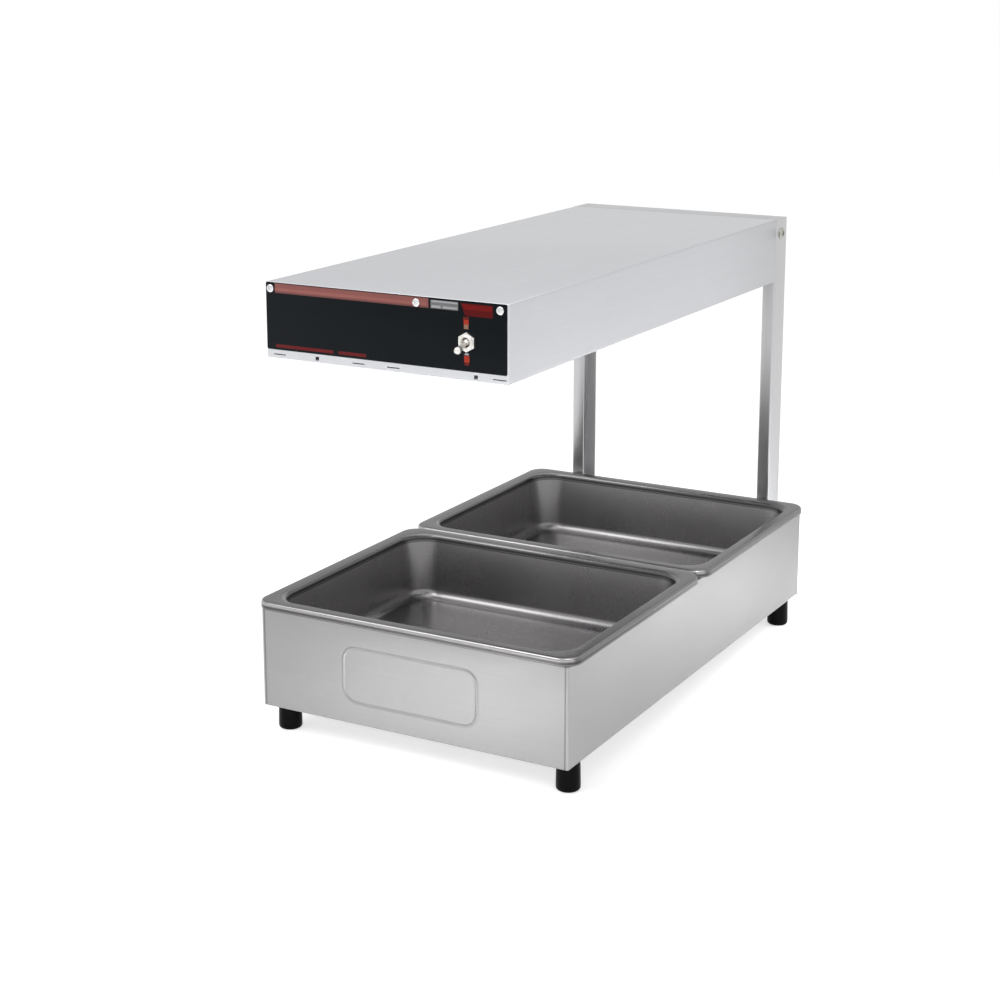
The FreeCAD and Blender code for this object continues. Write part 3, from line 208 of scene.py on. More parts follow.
@dataclass(frozen=True)
class Section:
    """A level rectangle with round corners.

    Attributes:
        half_x: Half its width.
        half_y: Half its length.
        corner: Its corner radius.
        level: Its height.
    """

    half_x: float
    half_y: float
    corner: float
    level: float

    def turn(self, place: Vector) -> tuple[float, float, float]:
        """The corner's signs and the angle round it of a point on this section."""
        across = abs(place.x) - (self.half_x - self.corner)
        up = abs(place.y) - (self.half_y - self.corner)
        angle = math.atan2(max(up, 0.0), max(across, 0.0))
        return math.copysign(1.0, place.x), math.copysign(1.0, place.y), angle

    def place(self, side_x: float, side_y: float, angle: float) -> Vector:
        """The point of this section at a corner and an angle round it."""
        across = self.half_x - self.corner + self.corner * math.cos(angle)
        up = self.half_y - self.corner + self.corner * math.sin(angle)
        return Vector((side_x * across, side_y * up, self.level))


class Workpiece:
    """A mesh under the modelling operators, in edit mode until it is dressed."""

    def __init__(self, name: str) -> None:
        """Take the primitive that was just added as a workpiece of that name."""
        self.body: bpy.types.Object = bpy.context.active_object
        self.body.name = name
        bpy.ops.object.transform_apply(location=True, rotation=True, scale=True)
        self.edit()
        bpy.ops.mesh.select_all(action="SELECT")

    @classmethod
    def box(cls, name: str, low: Sequence[float], high: Sequence[float]) -> "Workpiece":
        """A box between its lowest and highest corners."""
        rest()
        low, high = Vector(low), Vector(high)
        bpy.ops.mesh.primitive_cube_add(size=1.0, location=(low + high) / 2)
        bpy.context.active_object.scale = high - low
        return cls(name)

    @classmethod
    def plate(cls, name: str, middle: Sequence[float], size: tuple[float, float],
              tilt: float = 0.0) -> "Workpiece":
        """A flat rectangle.

        Args:
            name: The piece's name.
            middle: Its middle.
            size: Its width and its length.
            tilt: How far it is turned about X from facing up.

        Returns:
            The rectangle as a workpiece of one face.
        """
        rest()
        bpy.ops.mesh.primitive_plane_add(size=1.0, location=middle, rotation=(tilt, 0, 0))
        bpy.context.active_object.scale = (*size, 1.0)
        return cls(name)

    @classmethod
    def prism(cls, name: str, middle: Sequence[float], radius: float, length: float,
              sides: int = ROUND) -> "Workpiece":
        """A prism that lies along Y."""
        rest()
        bpy.ops.mesh.primitive_cylinder_add(vertices=sides, radius=radius, depth=length,
                                            location=middle, rotation=(QUARTER, 0, 0))
        return cls(name)

    @classmethod
    def path(cls, name: str, points: Sequence[Sequence[float]]) -> "Workpiece":
        """A line through points, drawn out from a single corner."""
        rest()
        bpy.ops.mesh.primitive_plane_add(size=MM, location=points[0])
        piece = cls(name)
        bpy.ops.mesh.select_mode(type="VERT")
        bpy.ops.mesh.select_all(action="SELECT")
        bpy.ops.mesh.merge(type="CENTER")
        for before, after in zip(points, points[1:]):
            piece.extrude(Vector(after) - Vector(before))
        bpy.ops.mesh.select_all(action="SELECT")
        return piece

    @classmethod
    def turned(cls, name: str, profile: Sequence[tuple[float, float]], foot: Sequence[float],
               axis: Vector) -> "Workpiece":
        """A closed round piece, spun from its profile.

        Args:
            name: The piece's name.
            profile: Radius and height of each point of the profile.
            foot: Where height zero lies on the axis.
            axis: The direction of the axis.

        Returns:
            The round piece.
        """
        out = axis.orthogonal().normalized()
        foot = Vector(foot)
        piece = cls.path(name, [foot + out * radius + axis * height for radius, height in profile])
        bpy.ops.mesh.spin(steps=ROUND, angle=math.tau, center=foot, axis=axis)
        return piece.clean()

    def only(self) -> None:
        """Leave edit mode and select this piece alone."""
        rest()
        self.body.select_set(True)
        bpy.context.view_layer.objects.active = self.body

    def edit(self) -> "Workpiece":
        """Make this the only piece under edit."""
        if bpy.context.mode == "OBJECT" or bpy.context.active_object is not self.body:
            self.only()
            bpy.ops.object.mode_set(mode="EDIT")
        return self

    def pick(self, kind: Kind, test: Test) -> "Workpiece":
        """Select the faces, edges or corners that pass a test."""
        self.edit()
        bpy.ops.mesh.select_mode(type=kind.value)
        bpy.ops.mesh.select_all(action="DESELECT")
        shape = bmesh.from_edit_mesh(self.body.data)
        shape.normal_update()
        items = {Kind.CORNERS: shape.verts, Kind.EDGES: shape.edges, Kind.FACES: shape.faces}[kind]
        for item in [item for item in items if test(item)]:
            item.select_set(True)
        shape.select_flush_mode()
        bmesh.update_edit_mesh(self.body.data)
        return self

    def extrude(self, move: Sequence[float]) -> "Workpiece":
        """Draw the selection out."""
        bpy.ops.mesh.extrude_region_move(TRANSFORM_OT_translate={"value": tuple(move)})
        return self

    def bevel(self, width: float, steps: int = FOLD_STEPS, corners: bool = False) -> "Workpiece":
        """Round the selected edges or corners."""
        affect = "VERTICES" if corners else "EDGES"
        bpy.ops.mesh.bevel(offset=width, offset_type="OFFSET", segments=steps, affect=affect)
        return self

    def inset(self, width: float, rise: float = 0.0) -> "Workpiece":
        """Inset the selected faces, and raise or sink them."""
        bpy.ops.mesh.inset(thickness=width, depth=rise)
        return self

    def bisect(self, axis: Axis, value: float) -> "Workpiece":
        """Cut the selection at one value of a coordinate."""
        bpy.ops.mesh.bisect(plane_co=axis.way * value, plane_no=axis.way)
        return self

    def delete(self, kind: str = "FACE") -> "Workpiece":
        """Delete the selection."""
        bpy.ops.mesh.delete(type=kind)
        return self

    def fill(self) -> "Workpiece":
        """Close the selected edges with faces, holes left open between nested loops."""
        bpy.ops.mesh.fill(use_beauty=True)
        return self

    def clean(self) -> "Workpiece":
        """Merge doubled corners and turn the faces outwards."""
        bpy.ops.mesh.select_all(action="SELECT")
        bpy.ops.mesh.remove_doubles(threshold=TINY)
        bpy.ops.mesh.normals_make_consistent(inside=False)
        return self

    def orient(self, way: Vector) -> "Workpiece":
        """Turn all faces so that the one that lies furthest along a direction faces it."""
        self.clean()
        shape = bmesh.from_edit_mesh(self.body.data)
        shape.normal_update()
        across = [face for face in shape.faces if abs(face.normal.dot(way)) > HALF]
        leader = max(across, key=lambda face: face.calc_center_median().dot(way))
        if leader.normal.dot(way) < 0:
            bpy.ops.mesh.flip_normals()
        return self

    def follow(self, start: Section, end: Section, middle: Vector) -> "Workpiece":
        """Draw the selected loop out from one section to the next."""
        self.extrude((0, 0, 0))
        shape = bmesh.from_edit_mesh(self.body.data)
        for corner in [corner for corner in shape.verts if corner.select]:
            corner.co = end.place(*start.turn(corner.co - middle)) + middle
        bmesh.update_edit_mesh(self.body.data)
        return self

    def modify(self, kind: str, **settings: Any) -> "Workpiece":
        """Add a modifier with its settings and apply it."""
        self.only()
        modifier = self.body.modifiers.new(kind.lower(), kind)
        for name, value in settings.items():
            setattr(modifier, name, value)
        bpy.ops.object.modifier_apply(modifier=modifier.name)
        return self.edit()

    def thicken(self, wall: float) -> "Workpiece":
        """Give a sheet its wall, behind its faces."""
        return self.modify("SOLIDIFY", thickness=wall, offset=-1.0, use_even_offset=True)

    def ease(self, width: float = EASE) -> "Workpiece":
        """Take the sharpness off every hard edge."""
        return self.modify("BEVEL", width=width, segments=EASE_STEPS, limit_method="ANGLE",
                           angle_limit=EASE_ANGLE, harden_normals=False)

    def trim(self, tool: "Workpiece", keep_common: bool = False) -> "Workpiece":
        """Cut a tool out of this piece, or keep only what both share."""
        operation = "INTERSECT" if keep_common else "DIFFERENCE"
        self.modify("BOOLEAN", object=tool.body, operation=operation, solver="EXACT")
        tool.discard()
        return self.edit()

    def take(self, *others: "Workpiece") -> "Workpiece":
        """Join other pieces into this one."""
        self.only()
        for other in others:
            other.body.select_set(True)
        bpy.ops.object.join()
        return self.edit()

    def copy(self, name: str, place: Matrix) -> "Workpiece":
        """A copy with its own mesh, moved and turned."""
        self.only()
        bpy.ops.object.duplicate(linked=False)
        bpy.context.active_object.matrix_world = place
        return Workpiece(name)

    def discard(self) -> None:
        """Take away a pattern or a tool that has done its work."""
        rest()
        bpy.data.objects.remove(self.body)

    def dress(self, finish: bpy.types.Material, slot: str, node: str,
              rides: Rides = Rides.FRAME) -> None:
        """Smooth the piece, give it its finish, hang it on its body and hide the plain piece that it
        stands for.

        Args:
            finish: Its material.
            slot: The record's name of that finish; not used.
            node: The plain piece that it replaces.
            rides: The body that it moves with.
        """
        self.only()
        bpy.ops.object.shade_smooth_by_angle(angle=SMOOTH_ANGLE)
        self.body.data.materials.clear()
        self.body.data.materials.append(finish)
        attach(self.body, rides.value)
        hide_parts(node)
        log.info("%s: %d faces", self.body.name, len(self.body.data.polygons))


def folded(name: str, points: Sequence[tuple[float, float]], span: tuple[float, float],
           radius: float, outward: Vector) -> Workpiece:
    """A sheet folded along an outline seen from the front and drawn out to the back.

    Args:
        name: The piece's name.
        points: Across and up of the outline's points.
        span: Where the sheet starts and ends along Y.
        radius: The folds' outside radius.
        outward: The way that its outer faces look.

    Returns:
        The sheet, as yet without its wall.
    """
    piece = Workpiece.path(name, [(across, span[0], up) for across, up in points])
    piece.extrude((0, span[1] - span[0], 0))
    piece.pick(Kind.EDGES, every(along(Axis.Y), lambda edge: not open_edge(edge)))
    piece.bevel(radius)
    return piece.orient(outward)


class Wiring:
    """A node tree under construction."""

    def __init__(self, tree: bpy.types.NodeTree) -> None:
        """Start on a tree."""
        self.tree = tree

    def add(self, kind: str, inputs: dict[str | int, Any] | None = None, **settings: Any) -> Any:
        """Add a node.

        Args:
            kind: The node's type.
            inputs: Its sockets' values, or the sockets that feed them.
            settings: Its own settings.

        Returns:
            The node.
        """
        node = self.tree.nodes.new(kind)
        for name, value in settings.items():
            setattr(node, name, value)
        for key, value in (inputs or {}).items():
            self.plug(node.inputs[key], value)
        return node

    def plug(self, socket: Any, value: Any) -> None:
        """Feed a socket from another one, or set its value."""
        if isinstance(value, bpy.types.NodeSocket):
            self.tree.links.new(value, socket)
        else:
            socket.default_value = value

    def split(self, place: Any) -> Any:
        """The three coordinates of a place."""
        return self.add("ShaderNodeSeparateXYZ", {0: place}).outputs

    def sum(self, operation: str, first: Any, second: Any = 0.0, third: Any = 0.0) -> Any:
        """The result of a math node."""
        node = self.add("ShaderNodeMath", {0: first, 1: second, 2: third}, operation=operation)
        return node.outputs[0]

    def mix_colours(self, share: Any, first: Any, second: Any) -> Any:
        """A mix of two colours."""
        node = self.add("ShaderNodeMix", {0: share, 6: first, 7: second}, data_type="RGBA")
        return node.outputs[2]

    def mix_values(self, share: Any, first: Any, second: Any) -> Any:
        """A mix of two values."""
        node = self.add("ShaderNodeMix", {0: share, 2: first, 3: second}, data_type="FLOAT")
        return node.outputs[0]

    def noise(self, place: Any, scale: float, detail: float = 3.0) -> Any:
        """A noise value at a place."""
        return self.add("ShaderNodeTexNoise", {"Vector": place, "Scale": scale,
                                               "Detail": detail}).outputs["Fac"]

    def spread(self, value: Any, low: float, high: float) -> Any:
        """A value spread so that low becomes 0 and high becomes 1."""
        return self.add("ShaderNodeMapRange", {"Value": value, "From Min": low, "From Max": high},
                        interpolation_type="SMOOTHSTEP").outputs[0]


class Effect:
    """A shader node group with named sockets."""

    def __init__(self, name: str, inputs: dict[str, float | Colour], outputs: Iterable[str]) -> None:
        """Make the group and its sockets.

        Args:
            name: The group's name.
            inputs: Name and first value of each input; three numbers make a vector.
            outputs: Names of the outputs, all values.
        """
        self.tree = bpy.data.node_groups.new(name, "ShaderNodeTree")
        for socket_name, value in inputs.items():
            kind = "NodeSocketVector" if isinstance(value, tuple) else "NodeSocketFloat"
            socket = self.tree.interface.new_socket(socket_name, in_out="INPUT", socket_type=kind)
            socket.default_value = value
        for socket_name in outputs:
            self.tree.interface.new_socket(socket_name, in_out="OUTPUT",
                                           socket_type="NodeSocketFloat")
        self.wiring = Wiring(self.tree)
        self.source = self.wiring.add("NodeGroupInput").outputs
        self.sink = self.wiring.add("NodeGroupOutput").inputs

    def give(self, name: str, value: Any) -> None:
        """Feed one of the group's outputs."""
        self.tree.links.new(value, self.sink[name])

    def use(self, wiring: Wiring, **inputs: Any) -> Any:
        """Place the group in a material's tree and return its outputs."""
        node = wiring.add("ShaderNodeGroup", node_tree=self.tree)
        for name, value in inputs.items():
            wiring.plug(node.inputs[name.replace("_", " ").capitalize()], value)
        return node.outputs


def grain_effect() -> Effect:
    """Streaks of a brushed or rolled surface, drawn out by a stretch along each axis."""
    effect = Effect("grain", {"Place": ORIGIN, "Stretch": (1.0, 1.0, 1.0)},
                    ("Streak", "Band"))
    wiring = effect.wiring
    drawn = wiring.add("ShaderNodeVectorMath", {0: effect.source["Place"],
                                                1: effect.source["Stretch"]},
                       operation="MULTIPLY").outputs[0]
    fine = wiring.noise(drawn, scale=1.0, detail=4.0)
    broad = wiring.noise(drawn, scale=0.12, detail=2.0)
    effect.give("Streak", wiring.spread(fine, low=0.25, high=0.75))
    effect.give("Band", wiring.spread(broad, low=0.3, high=0.7))
    return effect


def handling_effect() -> Effect:
    """Soft cloudy marks that wiping leaves on metal and moulded parts."""
    effect = Effect("handling", {"Place": ORIGIN, "Size": 12.0}, ("Cloud",))
    wiring = effect.wiring
    cloud = wiring.add("ShaderNodeTexNoise", {"Vector": effect.source["Place"],
                                              "Scale": effect.source["Size"], "Detail": 3.0,
                                              "Distortion": 0.8}).outputs["Fac"]
    effect.give("Cloud", wiring.spread(cloud, low=0.2, high=0.8))
    return effect


def block_effect() -> Effect:
    """A printed block on the front, whose left end may slant."""
    blur = 0.15 * MM
    effect = Effect("block", {"Place": ORIGIN, "Left": 0.0, "Right": 0.01, "Low": 0.0,
                              "High": 0.01, "Slant": 0.0}, ("Mask",))
    wiring = effect.wiring
    source = effect.source
    split = wiring.split(source["Place"])
    drop = wiring.sum("SUBTRACT", source["High"], split["Z"])
    start = wiring.sum("MULTIPLY_ADD", drop, source["Slant"], source["Left"])
    across = wiring.sum("MINIMUM", wiring.sum("SUBTRACT", split["X"], start),
                        wiring.sum("SUBTRACT", source["Right"], split["X"]))
    upright = wiring.sum("MINIMUM", drop, wiring.sum("SUBTRACT", split["Z"], source["Low"]))
    nearest = wiring.sum("MINIMUM", across, upright)
    effect.give("Mask", wiring.spread(nearest, -blur, blur))
    return effect


def line_effect() -> Effect:
    """A soft line where a coordinate has a value."""
    effect = Effect("line", {"Coordinate": 0.0, "Level": 0.1, "Half width": 0.001}, ("Mask",))
    wiring = effect.wiring
    source = effect.source
    apart = wiring.sum("SUBTRACT", source["Coordinate"], source["Level"])
    share = wiring.sum("DIVIDE", wiring.sum("ABSOLUTE", apart), source["Half width"])
    effect.give("Mask", wiring.sum("SUBTRACT", 1.0, wiring.spread(share, low=0.4, high=1.4)))
    return effect


def scratch_effect() -> Effect:
    """Fine broken hairlines in two directions, as handling leaves them."""
    turns = ((0.3, 0.2, 0.5), (1.2, -0.4, -0.7))
    stretch = (7.0, 75.0, 75.0)
    hairline = 0.014
    effect = Effect("scratches", {"Place": ORIGIN, "Amount": 0.5}, ("Mask",))
    wiring = effect.wiring
    masks = []
    for turn in turns:
        turned = wiring.add("ShaderNodeMapping", {"Vector": effect.source["Place"],
                                                  "Rotation": turn, "Scale": stretch})
        height = wiring.noise(turned.outputs[0], scale=1.0, detail=0.0)
        apart = wiring.sum("ABSOLUTE", wiring.sum("SUBTRACT", height, HALF))
        masks.append(wiring.sum("SUBTRACT", 1.0, wiring.spread(apart, 0.0, hairline)))
    patches = wiring.noise(effect.source["Place"], scale=26.0, detail=1.0)
    broken = wiring.spread(patches, low=0.5, high=0.66)
    both = wiring.sum("MULTIPLY", wiring.sum("MAXIMUM", masks[0], masks[1]), broken)
    effect.give("Mask", wiring.sum("MULTIPLY", both, effect.source["Amount"]))
    return effect


GRAIN = grain_effect()
HANDLING = handling_effect()
BLOCK = block_effect()
LINE = line_effect()
SCRATCHES = scratch_effect()


def shaded(colour: Colour, share: float = 1.0) -> Shade:
    """A colour with full cover, made lighter or darker."""
    return (*[channel * share for channel in colour], 1.0)


class Surface:
    """A material's tree with its shader, ready to be wired."""

    def __init__(self, name: str) -> None:
        """Make the material."""
        self.material = bpy.data.materials.new(name)
        self.material.use_nodes = True
        self.wiring = Wiring(self.material.node_tree)
        self.shader = self.material.node_tree.nodes["Principled BSDF"]
        self.place = self.wiring.add("ShaderNodeTexCoord").outputs["Object"]

    def feed(self, **sockets: Any) -> "Surface":
        """Set or link the shader's sockets, named in lower case with underscores."""
        for name, value in sockets.items():
            title = name.replace("_", " ").title().replace("Ior", "IOR")
            self.wiring.plug(self.shader.inputs[title], value)
        return self

    def relief(self, height: Any, depth: float) -> "Surface":
        """Raise the surface by a height."""
        bump = self.wiring.add("ShaderNodeBump", {"Height": height, "Distance": depth})
        return self.feed(normal=bump.outputs[0])


class Lay(Enum):
    """Which way a sheet's grain lies, as a stretch along X, Y and Z."""

    LEVEL = (30.0, 30.0, 3200.0)
    BACKWARDS = (3200.0, 30.0, 3200.0)
    UPRIGHT = (3200.0, 3200.0, 30.0)
    ROUND = (1500.0, 1500.0, 1500.0)


@dataclass(frozen=True)
class Stripe:
    """A soft line of painted light or shade along an edge of a sheet: lighter where its share is
    above 1, darker below.

    Attributes:
        inward: How far from the edge it lies.
        half_width: Half its width.
        cover: How far it covers the sheet.
        share: Its share of the sheet's colour; above 1 a painted highlight, below 1 painted shade.
    """

    inward: float
    half_width: float
    cover: float
    share: float

    def draw(self, wiring: Wiring, inward: Any, mask: Any, sheet: Colour, under: Any) -> Any:
        """Draw the line over a colour.

        Args:
            wiring: The material's tree.
            inward: The distance from the edge.
            mask: Where the line shows.
            sheet: The sheet's colour.
            under: The colour to draw over.

        Returns:
            The colour with its line.
        """
        line = LINE.use(wiring, coordinate=inward, level=self.inward,
                        half_width=self.half_width)["Mask"]
        line = wiring.sum("MULTIPLY", wiring.sum("MULTIPLY", line, self.cover), mask)
        return wiring.mix_colours(line, under, shaded(sheet, self.share))


@dataclass(frozen=True)
class GrooveShadeAndFoldHighlight:
    """A painted shade hairline standing for a groove, and a painted highlight along the fold beside
    it, at both ends of the base's front.

    Attributes:
        side: Half the base's width.
        front: How far back the front reaches.
        fold: The painted highlight along the fold, which also lightens the sides' outer faces.
        line: The painted shade of a groove, as a dark hairline on the front.
        blend: How soft the front's end is.
    """

    side: float
    front: float
    fold: Stripe = Stripe(0.8 * MM, 1.6 * MM, 0.5, 1.35)
    line: Stripe = Stripe(3.3 * MM, 0.8 * MM, 0.7, 0.35)
    blend: float = 0.2 * MM

    def draw(self, surface: Surface, sheet: Colour, under: Any) -> Any:
        """The sheet's colour with its painted groove shade and fold highlight."""
        wiring = surface.wiring
        split = wiring.split(surface.place)
        inward = wiring.sum("SUBTRACT", self.side, wiring.sum("ABSOLUTE", split["X"]))
        ahead = wiring.spread(split["Y"], self.front, self.front - self.blend)
        # Painted highlight along the folds, then painted groove shade on the front only.
        under = self.fold.draw(wiring, inward, 1.0, sheet, under)
        return self.line.draw(wiring, inward, ahead, sheet, under)


@dataclass(frozen=True)
class RimPaintedLightAndShade:
    """Painted light and shade on the pans' rolled edges: highlight and shade lines, and a painted
    darker reflection on the flat of their rims.

    Attributes:
        front: The lowest and highest corners of the front pan.
        rear: Those of the rear pan.
        flat: The flat's upper and lower ends below the rim's level.
        flat_shade_share: The flat's share of the sheet's colour, darkened as painted reflection.
        bright: The painted highlight of the front and rear edges.
        dull: The painted shade line of the side edges and of the walls' upper ends.
        dark: The painted shadow lines all round.
        reach: How far in a front or rear edge reaches, in full and at most.
    """

    front: tuple[Vector, Vector]
    rear: tuple[Vector, Vector]
    flat: tuple[float, float] = (0.1 * MM, 0.6 * MM)
    flat_shade_share: float = 0.56
    bright: Stripe = Stripe(1.7 * MM, 1.2 * MM, 0.9, 1.6)
    dull: Stripe = Stripe(3.6 * MM, 2.4 * MM, 0.8, 0.4)
    dark: tuple[Stripe, ...] = (Stripe(4.8 * MM, 1.3 * MM, 0.85, 0.2),
                                Stripe(7.0 * MM, 0.5 * MM, 0.9, 0.2))
    reach: tuple[float, float] = (6.0 * MM, 9.0 * MM)

    def ends(self, wiring: Wiring, along_y: Any) -> Any:
        """A mask that is 1 at both rims' front and rear edges and 0 further in."""
        between = (self.front[1].y + self.rear[0].y) / 2
        middle = (self.rear[0].y + self.rear[1].y) / 2 - between
        half = (self.rear[1].y - self.rear[0].y) / 2
        for centre in (between, middle):
            along_y = wiring.sum("ABSOLUTE", wiring.sum("SUBTRACT", along_y, centre))
        return wiring.spread(along_y, half - self.reach[1], half - self.reach[0])

    def draw(self, surface: Surface, sheet: Colour, under: Any) -> Any:
        """The sheet's colour with the rims' painted darker flats and painted highlight and shade
        lines.
        """
        wiring = surface.wiring
        split = wiring.split(surface.place)
        drop = wiring.sum("SUBTRACT", self.rear[1].z, split["Z"])
        # A painted darker reflection on the flat of the rims.
        flat = wiring.spread(drop, self.flat[1], self.flat[0])
        under = wiring.mix_colours(flat, under, shaded(sheet, self.flat_shade_share))
        ends = self.ends(wiring, split["Y"])
        # A painted highlight along the front and rear edges.
        under = self.bright.draw(wiring, drop, ends, sheet, under)
        # A painted shade line along the side edges and the walls' upper ends.
        under = self.dull.draw(wiring, drop, wiring.sum("SUBTRACT", 1.0, ends), sheet, under)
        # Painted shadow lines under the rolled edges, all round.
        for stripe in self.dark:
            under = stripe.draw(wiring, drop, 1.0, sheet, under)
        return under


@dataclass(frozen=True)
class Steel:
    """Stainless sheet.

    Attributes:
        name: The finish's name.
        colour: What it reflects.
        lay: Which way its grain lies.
        roughness: How blurred its reflections are.
        contrast: How far streaks lighten and darken it.
        relief: How deep the grain is.
        smudge: How far wiping marks dull it.
        scratched: How plain its scratches are.
        edge: The painted highlight and shade lines along its edges.
        banding: How much of the streaks is broad bands.
        marks: How many wiping marks lie along a metre.
        marked_share: The marks' share of its colour.
        scratched_share: The scratches' share of its colour.
    """

    name: str
    colour: Colour
    lay: Lay
    roughness: float = 0.36
    contrast: float = 0.03
    relief: float = 0.008 * MM
    smudge: float = 0.05
    scratched: float = 0.15
    edge: GrooveShadeAndFoldHighlight | RimPaintedLightAndShade | None = None
    banding: float = 0.25
    marks: float = 9.0
    marked_share: float = 0.75
    scratched_share: float = 1.25

    def material(self) -> bpy.types.Material:
        """The finish as a material."""
        surface = Surface(self.name)
        wiring = surface.wiring
        grain = GRAIN.use(wiring, place=surface.place, stretch=self.lay.value)
        marks = HANDLING.use(wiring, place=surface.place, size=self.marks)
        scratches = SCRATCHES.use(wiring, place=surface.place, amount=self.scratched)["Mask"]
        share = wiring.mix_values(self.banding, grain["Streak"], grain["Band"])
        colour = wiring.mix_colours(share, shaded(self.colour, 1 - self.contrast),
                                    shaded(self.colour, 1 + self.contrast))
        colour = wiring.mix_colours(wiring.sum("MULTIPLY", marks["Cloud"], self.smudge), colour,
                                    shaded(self.colour, self.marked_share))
        colour = wiring.mix_colours(scratches, colour, shaded(self.colour, self.scratched_share))
        # Painted highlight and shade lines along the edges of the sheets that carry them.
        if self.edge:
            colour = self.edge.draw(surface, self.colour, colour)
        dull = wiring.sum("MULTIPLY_ADD", marks["Cloud"], self.smudge, self.roughness)
        rough = wiring.sum("MULTIPLY_ADD", grain["Streak"], self.contrast, dull)
        surface.feed(base_color=colour, roughness=rough, metallic=1.0)
        return surface.relief(grain["Streak"], self.relief).material


@dataclass(frozen=True)
class Moulded:
    """Moulded plastic, rubber, ceramic or a painted part.

    Attributes:
        name: The finish's name.
        colour: Its colour.
        roughness: How matt it is.
        pebble: How deep its surface texture is.
        coarseness: How many pebbles lie along a metre.
        metallic: How far it is bare metal.
        wear: How far specks and marks lighten it.
        gloss: Its specular level.
        marks: How many wiping marks lie along a metre.
        faded: How its colour lightens where it is worn: a share of it, and what is added.
    """

    name: str
    colour: Colour
    roughness: float = 0.35
    pebble: float = 0.01 * MM
    coarseness: float = 2200.0
    metallic: float = 0.0
    wear: float = 0.12
    gloss: float = 0.35
    marks: float = 30.0
    faded: tuple[float, float] = (1.35, 0.02)

    def material(self) -> bpy.types.Material:
        """The finish as a material."""
        surface = Surface(self.name)
        wiring = surface.wiring
        marks = HANDLING.use(wiring, place=surface.place, size=self.marks)
        cover = wiring.sum("MULTIPLY", marks["Cloud"], self.wear)
        share, more = self.faded
        lighter = shaded(tuple(min(1.0, channel * share + more) for channel in self.colour))
        colour = wiring.mix_colours(cover, shaded(self.colour), lighter)
        rough = wiring.sum("MULTIPLY_ADD", marks["Cloud"], self.wear, self.roughness)
        grit = wiring.noise(surface.place, self.coarseness)
        surface.feed(base_color=colour, roughness=rough, metallic=self.metallic,
                     specular_ior_level=self.gloss)
        return surface.relief(grit, self.pebble).material


@dataclass(frozen=True)
class Print:
    """A plain printed block on the control panel.

    Attributes:
        colour: Its ink.
        left: Its left end, in millimetres from the head's middle.
        right: Its right end.
        low: Its lower edge, in millimetres above the head's underside.
        high: Its upper edge.
        slant: How far its left end moves in for each unit that it goes down.
    """

    colour: Colour
    left: float
    right: float
    low: float
    high: float
    slant: float = 0.0


@dataclass(frozen=True)
class PanelFilm:
    """The control panel's glossy black film with its coloured blocks.

    Attributes:
        name: The finish's name.
        colour: The film's colour.
        underside: The level that the prints are measured from.
        prints: The blocks, later ones over earlier ones.
        roughness: How matt it is, and how far wiping marks add to that.
        gloss: Its specular level.
        marks: How many wiping marks lie along a metre.
        marked: How far they cover it.
        marked_share: Their share of its colour.
        pebble: How deep its surface texture is.
        coarseness: How many pebbles lie along a metre.
    """

    name: str
    colour: Colour
    underside: float
    prints: tuple[Print, ...]
    roughness: tuple[float, float] = (0.27, 0.08)
    gloss: float = 0.1
    marks: float = 20.0
    marked: float = 0.3
    marked_share: float = 1.5
    pebble: float = 0.004 * MM
    coarseness: float = 1800.0

    def material(self) -> bpy.types.Material:
        """The finish as a material."""
        surface = Surface(self.name)
        wiring = surface.wiring
        cloud = HANDLING.use(wiring, place=surface.place, size=self.marks)["Cloud"]
        cover = wiring.sum("MULTIPLY", cloud, self.marked)
        colour = wiring.mix_colours(cover, shaded(self.colour),
                                    shaded(self.colour, self.marked_share))
        for block in self.prints:
            mask = BLOCK.use(wiring, place=surface.place, left=block.left * MM,
                             right=block.right * MM, low=self.underside + block.low * MM,
                             high=self.underside + block.high * MM, slant=block.slant)["Mask"]
            colour = wiring.mix_colours(mask, colour, shaded(block.colour))
        rough = wiring.sum("MULTIPLY_ADD", cloud, self.roughness[1], self.roughness[0])
        grit = wiring.noise(surface.place, self.coarseness)
        surface.feed(base_color=colour, roughness=rough, metallic=0.0,
                     specular_ior_level=self.gloss)
        return surface.relief(grit, self.pebble).material


BRICK = (0.37, 0.14, 0.125)
WARM_BRICK = (0.45, 0.17, 0.15)
DARK_BRICK = (0.24, 0.1, 0.095)
RED = (0.25, 0.014, 0.014)
DULL_RED = (0.15, 0.01, 0.01)
LINE_RED = (0.2, 0.02, 0.022)
EMBER = (0.58, 0.06, 0.035)
DARK_EMBER = (0.2, 0.025, 0.02)
PALE_EMBER = (0.44, 0.25, 0.17)
PALE_GREY = (0.55, 0.555, 0.565)
MID_GREY = (0.26, 0.265, 0.27)
PANEL_PRINTS = (
    Print(DARK_BRICK, -108.5, 43.5, 56.6, 65.0),
    Print(BRICK, -108.5, 43.5, 57.8, 64.4),
    Print(WARM_BRICK, -108.5, 41.5, 58.6, 61.0),
    Print(MID_GREY, 45.5, 71.5, 56.8, 63.8),
    Print(PALE_GREY, 46.5, 55.0, 57.4, 59.4),
    Print(PALE_GREY, 46.5, 70.5, 62.0, 63.4),
    Print(PALE_GREY, 57.0, 70.5, 57.6, 59.2),
    Print(DULL_RED, 73.5, 103.5, 53.2, 63.4, 0.45),
    Print(RED, 75.5, 102.5, 58.4, 62.4, 0.45),
    Print(DARK_EMBER, 76.2, 81.4, 49.4, 52.4),
    Print(EMBER, 76.5, 81.2, 45.4, 50.0),
    Print(PALE_EMBER, 76.8, 80.9, 42.4, 46.0),
    Print(PALE_GREY, 77.4, 81.2, 21.0, 22.6),
    Print(EMBER, 76.9, 81.8, 14.8, 20.6),
    Print(DARK_EMBER, 77.2, 81.4, 12.4, 15.0),
    Print(LINE_RED, -108.5, -50.0, 9.6, 12.4),
    Print(LINE_RED, -45.0, -17.5, 9.6, 12.4),
)


